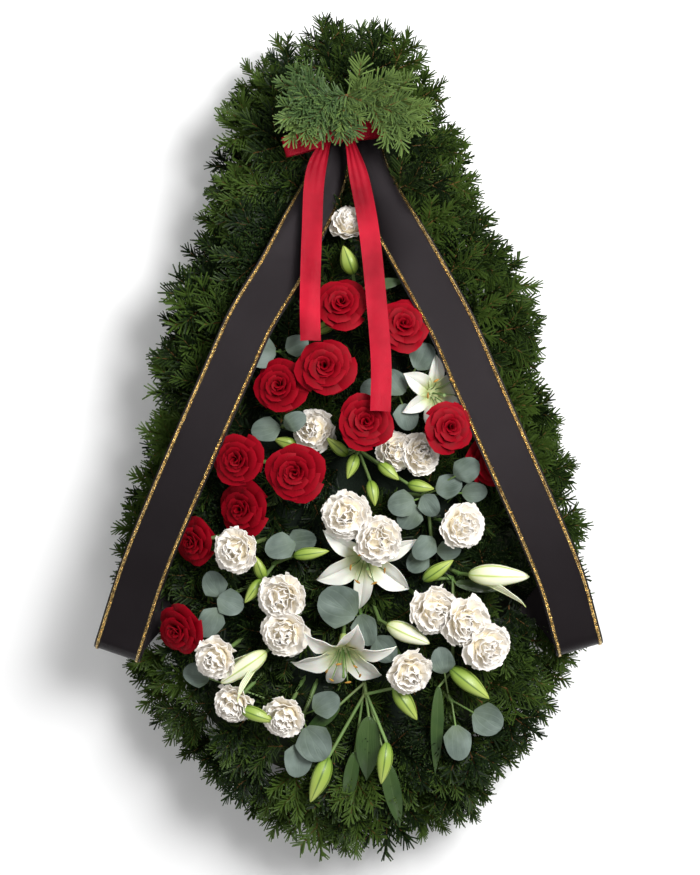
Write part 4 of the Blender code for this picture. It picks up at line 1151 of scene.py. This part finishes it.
# %% Lily stems with buds and leaves
LILY_STEMS = {  # hubs; buds as above; leaves by their middle, direction, pitch, length and width
    "lily_stem_top": (
        ((6, 184, 130),),
        (((-2, 220, 146), 110, 12, 38, 11), ((-34, 136, 138), 205, 10, 34, 8)),
        (((44, 191, 140), 10, 10, 52, 15),),
    ),
    "lily_stem_middle": (
        ((12, -14, 130),),
        (
            ((-16, -11, 150), 140, 20, 36, 8), ((2, -36, 156), 250, 20, 34, 8),
            ((48, -42, 150), -40, 15, 34, 8), ((28, -69, 152), -80, 20, 34, 8),
            ((88, -61, 142), -10, 10, 34, 8), ((-80, -6, 138), 165, 6, 30, 8),
        ),
        (),
    ),
    "lily_stem_left": (
        ((-96, -158, 132),),
        (
            ((-48, -143, 158), 8, 10, 46, 8), ((-112, -161, 150), 110, 20, 34, 8),
            ((-120, -190, 152), 235, 15, 36, 8),
        ),
        (),
    ),
    "lily_stem_right": (
        ((128, -176, 128), (128, -300, 128)),
        (((109, -164, 156), 35, 12, 46, 9), ((148, -304, 150), -38, 8, 62, 12)),
        (((160, -186, 134), -10, 4, 60, 14), ((108, -366, 140), -92, 4, 116, 16)),
    ),
    "lily_stem_bottom": (
        ((20, -322, 128),),
        (
            ((69, -330, 142), -55, 5, 50, 11), ((-38, -424, 146), -112, 4, 60, 12),
            ((42, -402, 156), -98, 4, 52, 10),
        ),
        (
            ((22, -388, 138), -92, 3, 84, 30), ((54, -446, 132), -78, 0, 90, 22),
            ((0, -428, 130), -100, 0, 76, 18), ((-36, -352, 136), -140, 4, 60, 18),
        ),
    ),
}


def stalk_start(hubs, point, number):
    """Where the stalk of a leaf or bud leaves the stem: each a little below the last."""
    hub = min(hubs, key=lambda place: (place - point).length)
    down_stem = foot_of(hub) if hub is hubs[0] else hubs[0]
    return hub + (down_stem - hub).normalized() * (2 + 2.6 * number) * MM


def main_stem(places):
    """The hubs of a sprig, and its stem from the foam to the first hub and on to the second."""
    hubs = [Vector(place) * MM for place in places]
    shapes = [head_stem(hubs[0], UP, 0.0)]
    for low, high in zip(hubs, hubs[1:]):
        shapes.append(tube([low, low.lerp(high, 0.5), high], [2.2 * MM] * 3, 6, 1))
    return hubs, shapes


LEAF_LIFT, BUD_LIFT = 0.036, 0.045  # how far off the CAD's own leaf or bud may be found, in metres


def leaf(base, along, length, width, curl, outline, size, node, finish, draw, cup=0.22, wave=0.06,
         tip_over=0.1):
    """A leaf whose height is taken from the CAD node's leaf at the same place, and the place of its foot."""
    at = bent(base, along, UP, length, curl)
    middle = at(0.5)[0]
    lift = UP * (height_of(trees[node], middle.x, middle.y, middle.z) - middle.z)
    if abs(lift.z) > LEAF_LIFT:
        lift = Vector((0, 0, 0))
    phase, roll = draw.uniform(0, 6.28), draw.uniform(-tip_over, tip_over)

    def place(s, t):
        point, side, up = at(t)
        half = width / 2 * outline(t)
        raised = cup * abs(s) + wave * math.sin(7 * t + phase + 2 * s) * abs(s)
        out = side * math.cos(roll) + up * math.sin(roll)
        return point + lift * min(1.0, t * 3 + 0.4) + out * half * s + up * half * raised

    return bent_sheet(*size, place, 0.7 * MM, finish), at(0.02)[0] + lift * 0.46


def lance(t):
    """The outline of a lily's leaf."""
    return (0.10 + 0.90 * math.sin(math.pi * t ** 0.75) ** 0.8) * (1 - t ** 9)


draw = random.Random(17)
for name, (hub_places, buds, leaves) in LILY_STEMS.items():
    hubs, shapes = main_stem(hub_places)
    for number, (place, azimuth, pitch, length, radius) in enumerate(buds):
        middle, way = Vector(place) * MM, compass(azimuth, pitch)
        top = height_of(trees[name], middle.x, middle.y, middle.z + radius * 0.8 * MM)
        if abs(top - middle.z) < BUD_LIFT:
            middle.z = top - radius * 0.8 * MM
        shapes.append(spindle(middle, way, length * MM, radius * 1.06 * MM, 0))
        hub = stalk_start(hubs, middle, number)
        shapes.append(stalk_to(hub, middle - way * (length / 2 - 1.5) * MM))
    for number, (place, azimuth, pitch, length, width) in enumerate(leaves):
        along = compass(azimuth, pitch)
        base = Vector(place) * MM - along * length * MM / 2
        made, foot = leaf(base, along, length * MM, width * MM, -0.35, lance, (8, 18), name, 2, draw)
        shapes += [made, stalk_to(stalk_start(hubs, base, number + len(buds)), foot, 1.6 * MM)]
    lay(f"{name}_greens", joined(shapes), [green_bud, green_stem, lily_leaf], [name])
print("lily stems:", len(LILY_STEMS))

# %% [markdown]
# ## Eucalyptus
#
# The sprigs of eucalyptus have round grey-green leaves with a powdery bloom. Each leaf is broad, slightly
# cupped and a little uneven, on a short stalk.

# %% Eucalyptus sprigs
EUCALYPTUS = (  # for each sprig its hubs, and its leaves by their middle and length
    (((-88, 108, 130),), ((-112, 106, 150, 42), (-66, 114, 150, 30))),
    (((-84, 14, 128),), ((-104, 10, 146, 36), (-68, 20, 150, 30))),
    (
        ((66, 58, 130),),
        ((56, 68, 152, 36), (90, 100, 150, 36), (114, 96, 140, 34), (70, 26, 152, 34), (30, 58, 150, 34)),
    ),
    (
        ((96, -74, 128), (103, -144, 130)),
        (
            (64, -82, 148, 34), (74, -98, 142, 34), (98, -84, 146, 30), (122, -60, 146, 34),
            (144, -40, 150, 34), (154, -68, 144, 32), (92, -136, 156, 34), (122, -140, 152, 30),
            (84, -154, 146, 30),
        ),
    ),
    (((-74, -131, 128),), ((-86, -134, 152, 38), (-60, -128, 156, 36))),
    (
        ((-160, -202, 130),),
        ((-168, -182, 150, 34), (-148, -204, 156, 34), (-172, -228, 158, 40)),
    ),
    (
        ((14, -226, 128),),
        ((-14, -208, 154, 52), (18, -238, 150, 40), (42, -262, 148, 36)),
    ),
    (
        ((-60, -352, 128),),
        ((-44, -378, 152, 46), (-64, -400, 146, 42), (-30, -330, 150, 36), (-190, -294, 140, 34)),
    ),
    (
        ((128, -330, 128),),
        ((134, -378, 146, 44), (170, -350, 148, 40), (114, -276, 146, 34)),
    ),
)


def round_leaf(t):
    """The outline of a eucalyptus leaf."""
    return min(1.0, (0.12 + 3.1 * t) ** 0.75) * math.sqrt(max(0.0, 1 - max(0.0, (t - 0.36) / 0.645) ** 2.0))


draw = random.Random(19)
for sprig, (hub_places, leaves) in enumerate(EUCALYPTUS, 1):
    name = f"eucalyptus_{sprig:02d}"
    hubs, shapes = main_stem(hub_places)
    for number, (*place, size) in enumerate(leaves):
        middle = Vector(place) * MM
        hub = stalk_start(hubs, middle, number % 7)
        plan = Vector((middle.x - hub.x, middle.y - hub.y, 0)).normalized()
        along = (plan + UP * 0.35).normalized()
        base = middle - along * size * MM * 0.5
        wide = size * MM * draw.uniform(0.80, 1.06)
        made, foot = leaf(base, along, size * MM, wide, -0.5, round_leaf, (12, 14), name, 0, draw,
                          cup=0.16, wave=0.12, tip_over=0.42)
        made.pattern[..., 1] = np.clip(made.pattern[..., 1] * draw.uniform(0.6, 1.0), 0, 1)
        shapes += [made, stalk_to(hub, foot, 1.1 * MM)]
    lay(f"{name}_leaves", joined(shapes), [eucalyptus_leaf, green_stem], [name])
print("eucalyptus leaves:", sum(len(leaves) for hubs, leaves in EUCALYPTUS))

# %% [markdown]
# ## The mourning ribbons
#
# Two black ribbons, each cut 60 mm wide, run from under the bow down both sides of the face. At the bow they
# are rolled into an arch; lower down they lie flat, and their ends turn under. A smooth line is laid through
# the CAD's middle line, and the cloth is a bent sheet about it. Each ribbon is one laid sheet, so its flat
# size is its width and the length of that line.

# %% Two black ribbons
LEFT_BAND = (
    (-21, 388, 107), (-22, 352, 108), (-34, 312, 120), (-56, 266, 138), (-84, 209, 152), (-121, 147, 160),
    (-146, 91, 167), (-174, 27, 171), (-197, -26, 172), (-250, -152, 166), (-284, -252, 150),
)
RIGHT_BAND = (
    (21, 388, 107), (22, 350, 108), (38, 303, 120), (61, 258, 138), (89, 207, 152), (128, 133, 160),
    (156, 67, 167), (180, 12, 171), (201, -36, 172), (234, -111, 169), (262, -180, 160), (281, -246, 148),
)
BAND_ARCH = (1.5, 1.4, 0.9, 0.45, 0.12)
BAND_WIDTH, BAND_THICKNESS = 60 * MM, 0.8 * MM
FLAT = 0.02  # an arch under this counts as none
TURN_RADIUS, TUCKED, TUCKED_HEIGHT = 0.019, 0.074, 0.1071  # of the end that is turned under, in metres


def band_line(line, inward):
    """The middle line of a band with its end turned under, its sides and how far it is arched."""
    points = [Vector(point) * MM for point in line]
    end = points[-1]
    plan = Vector(((end - points[-2]).x, (end - points[-2]).y, 0)).normalized()
    sides = []
    for i in range(len(points)):
        step = step_at(points, i)
        sides.append(Vector((step.y, -step.x, 0)).normalized())
    for i in range(1, 7):
        angle = math.pi * i / 6
        points.append(end + plan * TURN_RADIUS * math.sin(angle) - UP * TURN_RADIUS * (1 - math.cos(angle)))
        sides.append(sides[len(line) - 1])
    last = points[-1].copy()
    for share in (0.5, 1.0):
        turned = Matrix.Rotation(inward * math.radians(28) * (0.5 + 0.5 * share), 3, "Z")
        place = last - (turned @ plan) * TUCKED * share
        place.z += (TUCKED_HEIGHT - place.z) * share
        points.append(place)
        sides.append(turned @ sides[len(line) - 1])
    arches = list(BAND_ARCH) + [0.0] * (len(points) - len(BAND_ARCH))
    return points, sides, arches


class Band:
    """A ribbon's middle line, smoothed, which answers where a point across and along it lies."""

    def __init__(self, points, sides, arches, count, width):
        self.width = width
        self.line = smooth_line(points, count)
        self.length = float(distances(self.line)[-1])
        run = distances(points)
        arches = np.interp(np.linspace(0, run[-1], count), run, arches)
        self.frames = []
        for i, (point, side) in enumerate(zip(self.line, spread(points, sides, count))):
            ahead = step_at(self.line, i).normalized()
            side = (side - ahead * side.dot(ahead)).normalized()
            self.frames.append((point, side, side.cross(ahead).normalized(), arches[i]))

    def at(self, share, t, raised=0.0):
        at = t * (len(self.frames) - 1)
        low = min(int(at), len(self.frames) - 2)
        ends = [self.across(share, raised, *self.frames[low + k]) for k in (0, 1)]
        return ends[0].lerp(ends[1], at - low)

    def across(self, share, raised, point, side, normal, arch):
        if arch < FLAT:
            return point + side * share * self.width / 2 + normal * raised
        angle, ring = arch * share, self.width / 2 / arch
        middle = point + side * ring * math.sin(angle) + normal * ring * (math.cos(angle) - math.cos(arch))
        return middle + (side * math.sin(angle) + normal * math.cos(angle)) * raised


# %% Weave the ribbons and their braids
def plait(band, share, period=7.5 * MM):
    """Three gold threads plaited along a line of the band."""
    steps = int(band.length / period * 6)
    threads = []
    for strand in range(3):
        points = []
        for i in range(steps + 1):
            t = i / steps * 0.996 + 0.002
            turn = 2 * math.pi * (t * band.length / period + strand / 3)
            sideways = 1.5 * MM * math.sin(turn) / (band.width / 2)
            points.append(band.at(share + sideways, t, (0.75 + 0.35 * math.sin(2 * turn)) * MM))
        threads.append(tube(points, [0.72 * MM] * len(points), 4))
    return joined(threads)


for side_name, line, inward in (("left", LEFT_BAND, -1), ("right", RIGHT_BAND, 1)):
    band = Band(*band_line(line, inward), 150, BAND_WIDTH)
    node = f"mourning_ribbon_{side_name}"
    cloth = bent_sheet(17, 150, band.at, BAND_THICKNESS, 0, -1)
    ribbon = lay(f"{node}_cloth", cloth, [mourning_satin], [node])
    braids = []
    for edge, share in (("inner", -0.87), ("outer", 0.87)):
        braid = lay(f"{node}_{edge}_braid", plait(band, share), [gold_braid], [node])
        braids.append(braid)
    print(node, "cut", round(BAND_WIDTH * 1000), "x", round(band.length * 1000), "mm, braid triangles",
          [len(braid.data.polygons) for braid in braids])

# %% [markdown]
# ## The bow
#
# The bow is tied of red satin 25 mm wide. Two flat loops stand out from a gathered knot, and two long tails
# hang down over the flowers. The tails sag and twist a little, so each of them gets slow waves.

# %% Red satin bow
KNOT = Vector((-16, 378, 136)) * MM
TAILS = {
    "left": ((-28, 372, 140), (-43, 325, 149), (-47, 250, 162), (-49, 170, 178), (-48, 118, 192)),
    "right": ((-2, 374, 140), (12, 318, 150), (24, 250, 168), (33, 160, 180), (38, 90, 194), (37, 32, 206)),
}
LOOPS = {"left": (-66, -18, 2), "right": (58, 8, 4)}
LOOP_LINE = ((0.02, 0.2), (0.5, 1.0), (0.93, 0.8), (1.0, 0.0), (0.9, -0.7), (0.5, -0.8), (0.02, -0.2))
SATIN_WIDTH, GATHERED_SHARE = 25 * MM, 0.45


def satin(name, points, side, count, gathered, waves):
    """A strip of satin along points, gathered to a share of its width where it is tied."""
    strip = Band(points, [side] * len(points), [0.0] * len(points), count, SATIN_WIDTH)

    def place(s, t):
        drawn = 1 - (1 - GATHERED_SHARE) * sum(math.exp(-((t - end) / 0.10) ** 2) for end in gathered)
        fold = sum(math.exp(-((t - end) / 0.16) ** 2) for end in gathered)
        raised = 1.4 * MM * fold * math.cos(3 * math.pi * s)
        raised += waves * math.sin(5.5 * t + 2.2 * s) * t * (1 - fold)
        return strip.at(s * drawn, t, raised)

    made = lay(name, bent_sheet(15, count, place, 0.6 * MM, 0, 0), [red_satin], ["satin_bow"])
    return made, strip.length


for label, reach in LOOPS.items():
    out = Vector(reach) * MM
    points = [KNOT + out * share + UP * high * 7.5 * MM for share, high in LOOP_LINE]
    made, length = satin(f"bow_{label}_loop", points, Vector((-out.y, out.x, 0)).normalized(), 60, (0, 1), 0)
for label, tail in TAILS.items():
    points = [Vector(point) * MM for point in tail]
    made, length = satin(f"bow_{label}_tail", points, Vector((1, 0, 0)), 90, (0,), 1.3 * MM)
    print("tail", label, round(length * 1000), "mm")

bpy.ops.mesh.primitive_uv_sphere_add(segments=32, ring_count=20, radius=1)
ball = bpy.context.object
for vertex in ball.data.vertices:
    x, y, z = vertex.co
    fold = 1 + 0.07 * math.cos(9 * math.atan2(z, y) + 3 * x) * (1 - x * x)
    vertex.co = KNOT + Vector((x * 11 * (1 + 0.25 * (1 - abs(x))), y * 13 * fold, z * 8.5 * fold)) * MM
lay("bow_knot", shape_of(ball), [red_satin], ["satin_bow"])
print("bow done")

# %% [markdown]
# ## Light, floor and camera
#
# A pale floor under the arrangement, one large soft light from the upper right with three weak ones that
# fill the shadows, and the camera straight above, as in the photograph.

# %% Stage
bpy.ops.mesh.primitive_plane_add(size=12, location=(0, 0, -0.002))
floor = bpy.context.object
floor.name = "floor"
floor.data.materials.append(Finish("pale_floor", 0.95, Base_Color=(0.93, 0.93, 0.93)).material)

AIM = Vector((0, 0, 0.1))
for name, place, size, power in (
    ("key", (1.3, 0.9, 2.3), 1.3, 100), ("left_fill", (-2.2, 0.2, 1.5), 1.8, 12),
    ("low_fill", (0.3, -2.3, 1.6), 1.8, 12), ("high_fill", (-0.3, 2.4, 1.5), 1.8, 18),
):
    lamp = bpy.data.lights.new(name, "AREA")
    lamp.size, lamp.energy = size, power
    made = bpy.data.objects.new(name, lamp)
    made.location = place
    made.rotation_euler = (AIM - Vector(place)).to_track_quat("-Z", "Y").to_euler()
    bpy.context.scene.collection.objects.link(made)

world = bpy.data.worlds.new("pale_room")
world.use_nodes = True
sky = world.node_tree.nodes["Background"].inputs
sky["Color"].default_value, sky["Strength"].default_value = (1, 1, 1, 1), 0.22
bpy.context.scene.world = world

lens = bpy.data.cameras.new("camera")
lens.lens = 94.8
camera = bpy.data.objects.new("camera", lens)
camera.location = (0, 0, 3.0)
bpy.context.scene.collection.objects.link(camera)
bpy.context.scene.camera = camera
bpy.context.scene.view_settings.view_transform = "Standard"
